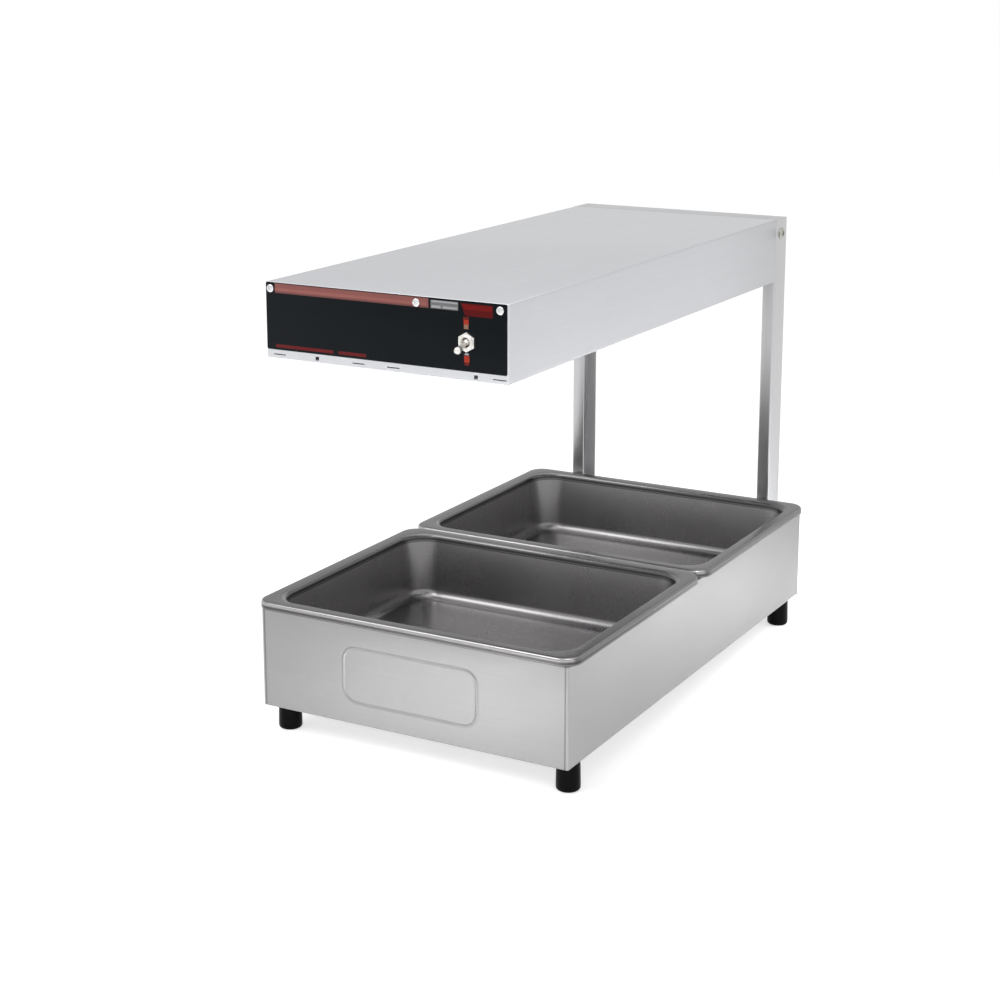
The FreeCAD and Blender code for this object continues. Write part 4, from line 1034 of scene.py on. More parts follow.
class Palette:
    """Every finish of the warmer, as materials."""

    def __init__(self) -> None:
        """Make the materials."""
        self.metals()
        self.mouldings()

    def metals(self) -> None:
        """Make the sheet, tube, wire and plated finishes."""
        front_depth = 3.0 * MM
        low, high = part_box("base_shell")
        # Painted groove shade and fold highlight at both ends of the base's front.
        groove_shade_and_fold_highlight = GrooveShadeAndFoldHighlight(high.x, low.y + front_depth)
        # Painted highlight, shade lines and a darker flat on the pans' rims.
        lip = RimPaintedLightAndShade(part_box("front_pan"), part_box("rear_pan"))
        self.base = Steel("satin_base_sheet", (0.385, 0.383, 0.384), Lay.LEVEL, edge=groove_shade_and_fold_highlight).material()
        self.plate = Steel("satin_plate", (0.4, 0.398, 0.398), Lay.LEVEL).material()
        self.head = Steel("satin_head_sheet", (0.69, 0.695, 0.718), Lay.BACKWARDS).material()
        self.cap = Steel("satin_cap_sheet", (0.74, 0.75, 0.775), Lay.LEVEL).material()
        self.rear = Steel("satin_rear_sheet", (0.62, 0.625, 0.635), Lay.LEVEL).material()
        self.post = Steel("drawn_post_tube", (0.63, 0.63, 0.64), Lay.UPRIGHT, roughness=0.3,
                          contrast=0.06).material()
        # The pans' colour is set darker than bare steel: painted shade of their insides on top of
        # the steel's own tone.
        self.pan = Steel("polished_pan_sheet", (0.31, 0.303, 0.307), Lay.ROUND, roughness=0.22,
                         contrast=0.02, relief=0.002 * MM, smudge=0.1, scratched=0.3,
                         edge=lip).material()
        self.mirror = Steel("bright_reflector_sheet", (0.82, 0.83, 0.84), Lay.BACKWARDS,
                            roughness=0.18).material()
        self.zinc = Steel("zinc_plate", (0.5, 0.5, 0.46), Lay.ROUND, roughness=0.38).material()
        self.screw = Steel("bright_screw_plate", (0.86, 0.86, 0.87), Lay.ROUND, roughness=0.22,
                           contrast=0.02, relief=0.002 * MM).material()
        self.lever = Steel("bright_lever_plate", (0.93, 0.91, 0.88), Lay.ROUND, roughness=0.34,
                           contrast=0.02, relief=0.002 * MM).material()
        self.wire = Steel("bright_wire", (0.62, 0.61, 0.6), Lay.BACKWARDS,
                          roughness=0.3).material()
        self.brass = Steel("tinned_brass", (0.72, 0.57, 0.28), Lay.ROUND, roughness=0.3).material()

    def mouldings(self) -> None:
        """Make the dark, ceramic, woven and printed finishes."""
        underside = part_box("head_housing")[0].z
        self.sheath = Moulded("oxidised_sheath", (0.1, 0.085, 0.075), 0.55, 0.02 * MM, 1500.0,
                              metallic=0.7, wear=0.5).material()
        self.foot = Moulded("glossy_foot_plastic", (0.002, 0.002, 0.0025), 0.14, 0.003 * MM,
                            wear=0.03, gloss=0.08).material()
        self.case = Moulded("phenolic_case", (0.03, 0.03, 0.032), 0.5).material()
        self.bushing = Moulded("moulded_nylon", (0.02, 0.02, 0.02), 0.42).material()
        self.ceramic = Moulded("unglazed_ceramic", (0.8, 0.77, 0.7), 0.6, 0.02 * MM,
                               900.0).material()
        self.sleeve = Moulded("woven_sleeve", (0.66, 0.64, 0.58), 0.8, 0.15 * MM, 3000.0,
                              wear=0.4).material()
        self.film = PanelFilm("printed_panel_film", (0.005, 0.0075, 0.01), underside,
                              PANEL_PRINTS).material()


def coat(nodes: Iterable[str], finish: bpy.types.Material) -> None:
    """Give plain pieces of the model a finish.

    Args:
        nodes: Their names.
        finish: Their material.
    """
    for name in nodes:
        node = frame["nodes"][name]
        if not node.material_slots:
            node.data.materials.append(finish)
        for slot in node.material_slots:
            slot.material = finish
        log.info("%s: kept, %s", name, finish.name)


@dataclass
class Screws:
    """Pan-head screws with a cross recess, modelled once and copied.

    Attributes:
        name: Their name.
        node: The plain screws that they replace.
        finish: Their material.
        axis: The axis that their heads look along.
        side: 1 where they look up that axis and -1 where they look down it.
        face: Where the heads meet the face, along that axis.
        radius: The heads' radius.
        turns: How far the first recess is turned, and each next one beyond the last, in degrees.
        recess: Length and width of the recess's arms and its depth, as shares of the head.
        rim_share: How high the head's upright edge is, as a share of its height.
        foot_share: Radius of its underside, as a share of its own.
        fullness: The power that shapes its dome, where 1 is a round one.
    """

    name: str
    node: str
    finish: bpy.types.Material
    axis: Axis
    side: int
    face: float
    radius: float = 3.5 * MM
    turns: tuple[float, float] = (25, 37)
    recess: tuple[float, float, float] = (0.52, 0.1, 0.6)
    rim_share: float = 0.35
    foot_share: float = 0.97
    fullness: float = 0.75

    def pattern(self) -> Workpiece:
        """One screw head at the origin, facing up."""
        radius = self.radius
        height = max((corner[self.axis.value] - self.face) * self.side
                     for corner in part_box(self.node))
        rim = height * self.rim_share
        profile = [(0.0, -height * HALF), (radius * HALF, -height * HALF), (radius * HALF, 0.0),
                   (radius * self.foot_share, 0.0), (radius, rim * HALF)]
        profile += [(radius * math.cos(turn) ** self.fullness,
                     rim + (height - rim) * math.sin(turn)) for turn in arc(DOME_STEPS)]
        head = Workpiece.turned("screw_pattern", profile, ORIGIN, Axis.Z.way)
        arm, blade, depth = self.recess
        for across, along_y in ((arm, blade), (blade, arm)):
            reach = Vector((radius * across, radius * along_y, 0))
            head.trim(Workpiece.box("recess_tool", Vector((0, 0, height * (1 - depth))) - reach,
                                    Vector((0, 0, height * 2)) + reach))
        return head

    def corners(self) -> list[Vector]:
        """The places of screws at the corners of the plain screws' box."""
        low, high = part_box(self.node)
        inward = Vector([self.radius] * 3)
        spans = list(zip(low + inward, high - inward))
        spans[self.axis.value] = (self.face,)
        return [Vector(place) for place in itertools.product(*spans)]

    def fit(self, places: Sequence[Vector]) -> None:
        """Set a screw at each place."""
        pattern = self.pattern()
        upright = (self.axis.way * self.side).to_track_quat("Z", "Y").to_matrix().to_4x4()
        for number, place in enumerate(places):
            turn = math.radians(self.turns[0] + self.turns[1] * number)
            copied = pattern.copy(f"{self.name}_{number + 1}", Matrix.Translation(place) @ upright
                                  @ Matrix.Rotation(turn, 4, "Z"))
            copied.dress(self.finish, "screw_bright", self.node)
        pattern.discard()


@dataclass
class Assembly:
    """A sub-assembly of the warmer.

    Attributes:
        palette: The finishes that it is dressed in.
    """

    palette: Palette


@dataclass
class Base(Assembly):
    """The open base with its pressed frame, feet, back and inlet.

    Attributes:
        wall: Sheet of the base.
        fold: Outside radius of its folds.
        side_flange: Inward fold along the top of the sides.
        front_flange: Inward fold along the top of the front.
        bottom_flange: Inward fold under the base.
        hem_share: Radius of the flanges' folds, as a share of the other folds'.
        frame_size: Width and height of the pressed frame.
        frame_line: Width of its line.
        frame_rise: How far it stands out.
        frame_corner: Its corner radius.
        toe: Rounding of the feet's lower edge.
        foot_edge: Rounding of their recess's mouth.
        foot_shares: Radius of their recess, bore and neck, as shares of the feet's radius.
        recess_share: Depth of the recess, as a share of their height.
        neck_shares: Levels where their sides start to narrow, have narrowed, and reach the
            neck, as shares of their height.
        taper: How far their sides are in at the first of these levels, and out at the second.
        shoulder: How far in their top starts from the neck.
    """

    wall: float = 1.2 * MM
    fold: float = 2.2 * MM
    side_flange: float = 5.2 * MM
    front_flange: float = 7.5 * MM
    bottom_flange: float = 26.0 * MM
    hem_share: float = 0.7
    frame_size: tuple[float, float] = (140.0 * MM, 55.0 * MM)
    frame_line: float = 3.4 * MM
    frame_rise: float = 0.8 * MM
    frame_corner: float = 15.0 * MM
    toe: float = 3.2 * MM
    foot_edge: float = 0.6 * MM
    foot_shares: tuple[float, float, float] = (0.5, 0.25, 0.95)
    recess_share: float = 0.618
    neck_shares: tuple[float, float, float] = (0.3, 0.93, 0.96)
    taper: tuple[float, float] = (0.05 * MM, 0.1 * MM)
    shoulder: float = 0.5 * MM

    def build(self) -> None:
        """Make the base."""
        self.shell()
        self.feet()
        self.inlet()
        palette = self.palette
        screws = Screws("back_panel_screw", "back_panel_screws", palette.screw, Axis.Y, 1,
                        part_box("base_back_panel")[1].y)
        screws.fit(screws.corners())
        coat(("base_back_panel", "base_bottom_plate", "pan_support_bar"), palette.plate)
        coat(("foot_bolts", "foot_nuts"), palette.zinc)

    def pressed_frame(self, front: float, middle: float) -> Workpiece:
        """The plain frame pressed out of the front, as a sheet in the front's plane."""
        sheet = Workpiece.plate("pressed_frame", (0, front, middle), self.frame_size, QUARTER)
        sheet.bevel(self.frame_corner, CORNER_STEPS, corners=True)
        heights = [self.frame_rise * math.sin(turn) for turn in arc(CORNER_STEPS, math.pi)]
        sheet.pick(Kind.FACES, anything)
        for before, after in zip(heights, heights[1:]):
            sheet.inset(self.frame_line / CORNER_STEPS, after - before)
        return sheet

    def shell(self) -> None:
        """Front, sides and flanges, folded from one sheet."""
        low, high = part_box("base_shell")
        front = low.y + self.frame_rise
        piece = Workpiece.box("base_shell_folded", (low.x, front, low.z), high)
        piece.pick(Kind.EDGES, every(along(Axis.Z), at(Axis.Y, front))).bevel(self.fold)
        piece.pick(Kind.EDGES, every(at(Axis.Z, low.z, high.z), not_at(Axis.Y, high.y)))
        piece.bevel(self.fold * self.hem_share)
        for level, way, side, ahead in (
                (high.z, 1, self.side_flange, self.front_flange),
                (low.z, -1, self.bottom_flange, self.bottom_flange)):
            flat = every(at(Axis.Z, level), facing(Axis.Z.way * way))
            lip_x, lip_y = high.x - side, front + ahead
            for axis, value in ((Axis.X, -lip_x), (Axis.X, lip_x), (Axis.Y, lip_y)):
                piece.pick(Kind.FACES, flat).bisect(axis, value)
            piece.pick(Kind.FACES, every(flat, within(lip_x, lip_y))).delete()
        piece.pick(Kind.FACES, facing(Axis.Y.way)).delete()
        piece.pick(Kind.FACES, every(facing(-Axis.Y.way), at(Axis.Y, front))).delete()
        piece.take(self.pressed_frame(front, (low.z + high.z) / 2))
        piece.pick(Kind.EDGES, every(open_edge, at(Axis.Y, front))).fill()
        piece.orient(-Axis.Y.way)
        piece.thicken(self.wall).ease(0.25 * MM)
        piece.dress(self.palette.base, "base_steel", "base_shell")

    def feet(self) -> None:
        """Four moulded feet, spun from one profile."""
        toe, edge = self.toe, self.foot_edge
        for end, side in itertools.product(("front", "rear"), ("left", "right")):
            node = f"foot_{end}_{side}"
            low, high, middle = measure(node)
            radius = (high.x - low.x) / 2
            height = high.z - low.z
            recess, bore, neck = [radius * share for share in self.foot_shares]
            depth = height * self.recess_share
            waist, collar, top = [height * share for share in self.neck_shares]
            inward, outward = self.taper
            profile = [(bore, depth), (recess, depth), (recess, edge), (recess + edge, 0)]
            profile += [(radius - toe + toe * math.sin(turn), toe - toe * math.cos(turn))
                        for turn in arc(ARC_STEPS)]
            profile += [(radius - inward, waist), (neck + outward, collar), (neck, top),
                        (neck - self.shoulder, height), (bore, height), (bore, depth)]
            foot = Workpiece.turned(f"{node}_moulded", profile, (middle.x, middle.y, low.z),
                                    Axis.Z.way)
            foot.dress(self.palette.foot, "foot_black", node)

    def inlet(self) -> None:
        """The cord bushing: collar, neck, lock ring and bore."""
        low, high, middle = measure("cord_bushing")
        collar = (high.x - low.x) / 2
        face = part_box("base_back_panel")[1].y - low.y
        depth = high.y - low.y
        panel = face - self.wall
        bore, neck, ring, mouth = 4.25 * MM, 7.9 * MM, 9.0 * MM, 0.5 * MM
        collar_edge, ring_edge, bore_edge = 2.2 * MM, 0.7 * MM, 1.2 * MM
        rise = depth - face - collar_edge
        profile = [(bore, mouth), (bore + mouth, 0), (ring - ring_edge, 0), (ring, ring_edge),
                   (ring, panel), (neck, panel), (neck, face), (collar, face)]
        profile += [(collar - rise + rise * math.cos(turn), depth - rise + rise * math.sin(turn))
                    for turn in arc(ARC_STEPS)]
        profile += [(bore + bore_edge, depth), (bore, depth - bore_edge), (bore, mouth)]
        bushing = Workpiece.turned("cord_bushing_moulded", profile, (middle.x, low.y, middle.z),
                                   Axis.Y.way)
        bushing.dress(self.palette.bushing, "bushing_black", "cord_bushing")


@dataclass
class Pan(Assembly):
    """A deep-drawn pan with a rolled rim.

    Attributes:
        node: The plain pan that it replaces.
        rides: The body that it is.
        wall: Its sheet.
        rim_drop: Height of the turned-down edge.
        rim_fold: Radius of the rim's fold.
        rim_corner: Corner radius of the rim.
        land: Width of the rim.
        mouth_fold: Radius between the rim and the wall.
        well_corner: Corner radius of the well at its mouth.
        floor_corner: Corner radius of the well at its floor.
        draft: How far the wall draws in over its height.
        floor_fold: Radius between the wall and the floor.
    """

    node: str
    rides: Rides
    wall: float = 0.8 * MM
    rim_drop: float = 7.1 * MM
    rim_fold: float = 2.6 * MM
    rim_corner: float = 16.0 * MM
    land: float = 13.0 * MM
    mouth_fold: float = 4.0 * MM
    well_corner: float = 28.0 * MM
    floor_corner: float = 24.0 * MM
    draft: float = 7.0 * MM
    floor_fold: float = 10.0 * MM

    def sections(self, half_x: float, half_y: float, top: float, floor: float) -> list[Section]:
        """The pan's sections, from the edge of its rim to its floor.

        Args:
            half_x: Half the rim's width.
            half_y: Half the rim's length.
            top: The rim's level.
            floor: The level of the floor's upper face.

        Returns:
            Rounded rectangles, each further along the sheet than the last.
        """
        found: list[Section] = []

        def add(inward: float, corner: float, level: float) -> None:
            """Add a section a little way in from the rim's edge."""
            found.append(Section(half_x - inward, half_y - inward, corner, level))

        add(0.0, self.rim_corner, top - self.rim_drop)
        for turn in arc(ARC_STEPS):
            inward = self.rim_fold * (1 - math.cos(turn))
            add(inward, self.rim_corner - inward, top - self.rim_fold * (1 - math.sin(turn)))
        lean = math.atan(self.draft / (top - floor))
        fold = QUARTER - lean
        start = self.land - self.mouth_fold * math.tan(fold / 2)
        add((self.rim_fold + start) / 2, self.rim_corner, top)
        for turn in arc(ARC_STEPS, fold):
            add(start + self.mouth_fold * math.sin(turn),
                self.well_corner - self.mouth_fold * (1 - math.sin(turn)),
                top - self.mouth_fold * (1 - math.cos(turn)))
        centre_in = self.land + self.draft + self.floor_fold * math.tan(fold / 2)
        for turn in arc(FLOOR_STEPS, fold):
            add(centre_in - self.floor_fold * math.cos(lean + turn),
                self.floor_corner - self.floor_fold * (1 - math.cos(lean + turn)) * HALF,
                floor + self.floor_fold * (1 - math.sin(lean + turn)))
        return found

    def build(self) -> None:
        """Draw the pan from its rim to its floor."""
        low, high, middle = measure(self.node)
        centre = Vector((middle.x, middle.y, 0))
        half_x = (high.x - low.x) / 2
        half_y = (high.y - low.y) / 2
        sections = self.sections(half_x, half_y, high.z, low.z + self.wall)
        piece = Workpiece.plate(f"{self.node}_drawn", (middle.x, middle.y, sections[0].level),
                                (half_x * 2, half_y * 2))
        piece.bevel(self.rim_corner, CORNER_STEPS, corners=True)
        piece.pick(Kind.FACES, anything).delete("ONLY_FACE")
        piece.pick(Kind.EDGES, anything)
        for start, end in zip(sections, sections[1:]):
            piece.follow(start, end, centre)
        bpy.ops.mesh.edge_face_add()
        piece.orient(Axis.Z.way)
        piece.thicken(self.wall).ease()
        piece.dress(self.palette.pan, "pan_steel", self.node, self.rides)


@dataclass
class Posts(Assembly):
    """The two posts with their spacers and through screws.

    The left post is an open channel, and the right one is a tube that hides the leads.

    Attributes:
        wall: The tubes' wall.
        corner: Their outside corner radius.
        crown: Rounding of their upper ends.
    """

    wall: float = 1.5 * MM
    corner: float = 2.0 * MM
    crown: float = 0.8 * MM

    def build(self) -> None:
        """Make the posts."""
        self.post("left_post", -1)
        self.post("right_post", 1)
        palette = self.palette
        coat(("left_post_spacer", "right_post_spacer"), palette.post)
        coat(("post_base_bolts", "post_base_nuts", "head_mount_bolts", "head_mount_nuts",
              "post_top_nuts"), palette.zinc)
        low, high, middle = measure("post_top_screws")
        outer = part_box("right_post")[1].x
        for name, side in (("left_post_screw", -1), ("right_post_screw", 1)):
            screws = Screws(name, "post_top_screws", palette.zinc, Axis.X, side, side * outer,
                            (high.z - low.z) / 2)
            screws.fit([Vector((side * outer, middle.y, middle.z))])

    def post(self, node: str, side: int) -> None:
        """A closed-topped post: a tube on the right, a channel open inwards on the left.

        Args:
            node: The plain post that it replaces.
            side: 1 for the right post and -1 for the left one.
        """
        low, high, middle = measure(node)
        outer, inner = (high.x, low.x) if side > 0 else (low.x, high.x)
        folds = (outer, inner) if side > 0 else (outer,)
        piece = Workpiece.plate(f"{node}_drawn", (middle.x, middle.y, low.z),
                                (high.x - low.x, high.y - low.y))
        piece.pick(Kind.CORNERS, at(Axis.X, *folds)).bevel(self.corner, FOLD_STEPS, corners=True)
        piece.pick(Kind.FACES, anything).extrude((0, 0, high.z - low.z))
        crown = every(at(Axis.Z, high.z), not_at(Axis.X, *(() if side > 0 else (inner,))))
        piece.pick(Kind.EDGES, crown).bevel(self.crown, steps=3)
        piece.pick(Kind.FACES, at(Axis.Z, low.z)).delete()
        if side < 0:
            piece.pick(Kind.FACES, every(at(Axis.X, inner), facing(Axis.X.way))).delete()
        piece.orient(Axis.X.way * side).thicken(self.wall).ease()
        piece.dress(self.palette.post, "post_steel", node)


@dataclass
class Head(Assembly):
    """The long head: housing, caps, control panel, bridge and cover.

    Attributes:
        wall: Its sheet.
        fold: Outside radius of its folds.
        flange: Inward fold under the head.
        cap_edge: Rounding of the front cap's outer edges.
        skirt_shares: How far in its skirt lies and how thick it is, as shares of the sheet.
        slot_level: Middle of the slots above the cap's lower edge.
        slot_half: Half the length and the height of a slot.
        slot_shares: Places of the slots, as shares of half the cap's width.
        latch_half: Half the width and the height of a latch hole.
        latch_shares: Places of the latch holes.
        panel_corner: Corner radius of the control panel.
        middle_screw: Place of the panel's middle screw.
        bridge_fold: Radius of the bridge's folds.
        bridge_flange: Inward fold round the bridge's open back.
        cover_corner: Corner radius of the bridge's cover.
    """

    wall: float = 1.0 * MM
    fold: float = 2.0 * MM
    flange: float = 20.0 * MM
    cap_edge: float = 0.9 * MM
    skirt_shares: tuple[float, float] = (1.05, 0.9)
    slot_level: float = 3.4 * MM
    slot_half: tuple[float, float] = (6.0 * MM, 0.45 * MM)
    slot_shares: tuple[float, ...] = (-0.89, -0.215, 0.075, 0.925)
    latch_half: tuple[float, float] = (1.8 * MM, 1.8 * MM)
    latch_shares: tuple[float, ...] = (-0.565, 0.74)
    panel_corner: float = 1.5 * MM
    middle_screw: float = 32.0 * MM
    bridge_fold: float = 1.2 * MM
    bridge_flange: float = 11.0 * MM
    cover_corner: float = 2.5 * MM

    def build(self) -> None:
        """Make the head."""
        self.housing()
        self.front_cap()
        self.panel()
        self.bridge()
        coat(("head_rear_cap",), self.palette.rear)

    def housing(self) -> None:
        """Top, sides and lower flanges, folded from one sheet."""
        low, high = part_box("head_housing")
        lip = high.x - self.flange
        points = [(lip, low.z), (high.x, low.z), (high.x, high.z), (low.x, high.z),
                  (low.x, low.z), (-lip, low.z)]
        piece = folded("head_housing_folded", points, (low.y, high.y), self.fold, Axis.Z.way)
        piece.thicken(self.wall).ease()
        piece.dress(self.palette.head, "head_steel", "head_housing")

    def front_cap(self) -> None:
        """The front cap, with softly rounded outer edges, slots and latch holes."""
        low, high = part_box("head_front_cap")
        face = low.y + self.wall
        piece = Workpiece.box("head_front_cap_pressed", low, (high.x, face, high.z))
        piece.pick(Kind.EDGES, at(Axis.Y, low.y)).bevel(self.cap_edge, steps=4)
        skirt = self.wall * self.skirt_shares[0]
        ring = Workpiece.box("cap_skirt", (low.x + skirt, face, low.z + skirt),
                             (high.x - skirt, high.y, high.z - skirt))
        ring.pick(Kind.FACES, at(Axis.Y, face, high.y)).delete()
        ring.orient(Axis.X.way).thicken(self.wall * self.skirt_shares[1])
        level = low.z + self.slot_level
        half = (high.x - low.x) / 2
        for shares, (reach, rise) in ((self.slot_shares, self.slot_half),
                                      (self.latch_shares, self.latch_half)):
            for share in shares:
                piece.trim(Workpiece.box("slot_tool", (half * share - reach, low.y - MM,
                                                       level - rise),
                                         (half * share + reach, face + MM, level + rise)))
        piece.take(ring)
        piece.dress(self.palette.cap, "head_steel", "head_front_cap")

    def panel(self) -> None:
        """The printed control panel and its three screws."""
        low, high, middle = measure("control_panel")
        piece = Workpiece.plate("control_panel_film", (middle.x, high.y, middle.z),
                                (high.x - low.x, high.z - low.z), QUARTER)
        piece.bevel(self.panel_corner, FOLD_STEPS, corners=True)
        piece.pick(Kind.FACES, anything).extrude((0, low.y - high.y, 0))
        piece.clean().ease(0.15 * MM)
        piece.dress(self.palette.film, "panel_black", "control_panel")
        first, last, centre = measure("panel_screws")
        radius = (last.z - first.z) / 2
        screws = Screws("panel_screw", "panel_screws", self.palette.screw, Axis.Y, -1, low.y, radius)
        screws.fit([Vector((x, low.y, centre.z))
                    for x in (first.x + radius, self.middle_screw, last.x - radius)])

    def bridge(self) -> None:
        """The box between the posts and its cover plate."""
        rear = self.palette.rear
        piece = Workpiece.box("rear_bridge_folded", *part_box("rear_bridge"))
        piece.pick(Kind.EDGES, along(Axis.X)).bevel(self.bridge_fold)
        piece.pick(Kind.FACES, facing(Axis.Y.way)).inset(self.bridge_flange).delete()
        piece.orient(Axis.Z.way).thicken(self.wall).ease()
        piece.dress(rear, "head_steel", "rear_bridge")
        low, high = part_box("rear_cover")
        cover = Workpiece.box("rear_cover_plate", low, high)
        cover.pick(Kind.EDGES, along(Axis.Y)).bevel(self.cover_corner)
        cover.ease(0.3 * MM).dress(rear, "head_steel", "rear_cover")
        screws = Screws("rear_cover_screw", "rear_cover_screws", self.palette.screw, Axis.Y, 1,
                        high.y)
        screws.fit(screws.corners())


@dataclass
class Heater(Assembly):
    """Reflector, heating rod and guard inside the head.

    Attributes:
        wall: The reflector's sheet.
        fold: Radius of its folds.
        lip: Its flat edge beside the mouth.
        crown: Half the width of its flat crown.
    """

    wall: float = 0.9 * MM
    fold: float = 4.0 * MM
    lip: float = 12.0 * MM
    crown: float = 34.0 * MM

    def build(self) -> None:
        """Make the heater."""
        low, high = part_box("reflector")
        right = [(high.x, low.z), (high.x - self.lip, low.z), (self.crown, high.z - self.wall)]
        left = [(-across, up) for across, up in reversed(right)]
        piece = folded("reflector_folded", right + left, (low.y, high.y), self.fold, -Axis.Z.way)
        piece.thicken(self.wall).ease(0.15 * MM)
        palette = self.palette
        piece.dress(palette.mirror, "reflector_aluminium", "reflector")
        screws = Screws("reflector_screw", "reflector_screws", palette.screw, Axis.Z, -1,
                        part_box("head_housing")[0].z)
        screws.fit(screws.corners())
        coat(("front_bulkhead", "rear_bulkhead"), palette.rear)
        coat(("front_insulator", "rear_insulator"), palette.ceramic)
        coat(("heating_element",), palette.sheath)
        coat(("element_guard",), palette.wire)


@dataclass
class Toggle(Assembly):
    """The toggle switch on the panel.

    Attributes:
        pitch: Pitch of the bushing's thread.
        thread: Depth of the thread.
        thread_radius: Outer radius of the thread, and bore of the nut.
        thread_start: Plain length at each end of the thread.
        crest_share: Where its crest is, as a share of the pitch.
        chamfer_share: Depth of the nut's chamfer, as a share of its corners' reach.
        bore: Radius of the bushing's bore.
        mouth: Radius of its mouth, and how deep it narrows.
        plate: Thickness of the plate behind it.
        lever_tip: How far the lever's tip is in front of the pivot, and below it.
        ball: Radius of the lever's ball.
        ball_sweep: How far its outline goes round, from its far side.
        root: Radius of its root.
        root_share: Where the root starts, as a share of the ball.
        tip: Radius of its tip.
        tip_sweep: Where its round outline starts, and how far it goes round.
        shank_shares: Radius and place of points of the shank, as shares of the root and length.
        tip_shares: Radius and place of the tip's start, as shares of the tip and length.
    """

    pitch: float = 0.7 * MM
    thread: float = 0.3 * MM
    thread_radius: float = 5.95 * MM
    thread_start: float = 0.3 * MM
    crest_share: float = 0.4
    chamfer_share: float = 0.6
    bore: float = 3.4 * MM
    mouth: tuple[float, float] = (4.5 * MM, 3.0 * MM)
    plate: float = 1.0 * MM
    lever_tip: tuple[float, float] = (14.8 * MM, 4.3 * MM)
    ball: float = 3.0 * MM
    ball_sweep: float = math.pi * 0.8
    root: float = 1.75 * MM
    root_share: float = 0.95
    tip: float = 3.2 * MM
    tip_sweep: tuple[float, float] = (QUARTER * 0.07, QUARTER * 0.86)
    shank_shares: tuple[tuple[float, float], ...] = ((1.05, 0.4), (1.35, 0.66))
    tip_shares: tuple[float, float] = (0.86, 0.85)

    def build(self) -> None:
        """Make the switch."""
        self.bushing()
        self.nut()
        self.lever()
        palette = self.palette
        coat(("switch_pivot_pin", "switch_washer"), palette.zinc)
        coat(("switch_case", "terminal_block"), palette.case)
        coat(("switch_tabs", "terminal_screws"), palette.brass)
        coat(("supply_lead", "switched_lead", "return_lead"), palette.sleeve)

    def bushing(self) -> None:
        """The threaded bushing and the plate behind it."""
        low, high, middle = measure("switch_bushing")
        radius, core = self.thread_radius, self.thread_radius - self.thread
        mouth, narrow = self.mouth
        depth = high.y - low.y
        length = depth - self.plate
        profile = [(mouth, 0), (core, 0)]
        turns = int(length / self.pitch)
        for turn in range(turns):
            start = self.thread_start + turn * (length - self.thread_start * 2) / turns
            profile += [(core, start), (radius, start + self.pitch * self.crest_share)]
        profile += [(core, length), (core, depth), (self.bore, depth), (self.bore, narrow),
                    (mouth, 0)]
        piece = Workpiece.turned("switch_bushing_threaded", profile, (middle.x, low.y, middle.z),
                                 Axis.Y.way)
        face = high.y - self.plate
        back = Workpiece.box("switch_plate", (low.x, face, low.z), high)
        back.pick(Kind.EDGES, along(Axis.Y)).bevel(self.plate, steps=3)
        back.trim(Workpiece.prism("plate_tool", (middle.x, face, middle.z), self.bore,
                                  self.plate * 6))
        piece.take(back)
        piece.dress(self.palette.lever, "lever_bright", "switch_bushing")

    def nut(self) -> None:
        """The hexagon nut with turned corners."""
        low, high, middle = measure("switch_nut")
        height = high.y - low.y
        flats, corner = sorted(((high.x - low.x) / 2, (high.z - low.z) / 2))
        chamfer = (corner - flats) * self.chamfer_share
        nut = Workpiece.prism("switch_nut_turned", middle, corner, height, sides=6)
        profile = [(0, height), (corner + MM, height), (corner + MM, chamfer), (flats, 0), (0, 0)]
        nut.trim(Workpiece.turned("nut_chamfer", profile, (middle.x, low.y, middle.z), Axis.Y.way),
                 keep_common=True)
        nut.trim(Workpiece.prism("nut_tool", middle, self.thread_radius, height * 2))
        nut.ease(0.15 * MM)
        nut.dress(self.palette.lever, "lever_bright", "switch_nut")

    def lever(self) -> None:
        """The bat-shaped lever on its ball, leaning down as it does when it is off."""
        joint = next(item for item in frame["joints"] if item["name"] == "toggle_throw")
        out, down = self.lever_tip
        length = math.hypot(out, down)
        ball, root, tip = self.ball, self.root, self.tip
        profile = [(0.0, -ball)]
        profile += [(ball * math.sin(turn), -ball * math.cos(turn))
                    for turn in arc(LEVER_STEPS, self.ball_sweep)[1:-1]]
        profile.append((root, ball * self.root_share))
        profile += [(root * wide, length * far) for wide, far in self.shank_shares]
        profile.append((tip * self.tip_shares[0], length * self.tip_shares[1]))
        start, sweep = self.tip_sweep
        profile += [(tip * math.cos(start + turn), length + tip * math.sin(start + turn))
                    for turn in arc(LEVER_STEPS, sweep)]
        profile.append((0.0, length + tip))
        piece = Workpiece.turned("toggle_lever_turned", profile, Vector(joint["pos_m"]),
                                 Vector((0, -out, -down)).normalized())
        piece.dress(self.palette.lever, "lever_bright", "toggle_lever", Rides.LEVER)


class Reach(Enum):
    """What a lamp lights."""

    ALL = 1
    METAL = 2
    MATT = 3


@dataclass(frozen=True)
class Lamp:
    """A soft square lamp.

    Attributes:
        name: Its name.
        place: Where it hangs.
        aim: What it is turned to.
        size: Its width.
        power: Its power in watts.
        spread: How far its light fans out, in degrees.
        reach: What it lights.
    """

    name: str
    place: tuple[float, float, float]
    aim: tuple[float, float, float]
    size: float
    power: float
    spread: float = 180.0
    reach: Reach = Reach.ALL

    def hang(self) -> None:
        """Put the lamp in the scene."""
        data = bpy.data.lights.new(self.name, "AREA")
        data.size = self.size
        data.energy = self.power
        data.spread = math.radians(self.spread)
        lamp = bpy.data.objects.new(self.name, data)
        lamp.location = self.place
        turned = Vector(self.aim) - Vector(self.place)
        lamp.rotation_euler = turned.to_track_quat("-Z", "Y").to_euler()
        lamp.visible_camera = False
        lamp.visible_glossy = self.reach is not Reach.MATT
        lamp.visible_diffuse = self.reach is not Reach.METAL
        bpy.context.scene.collection.objects.link(lamp)


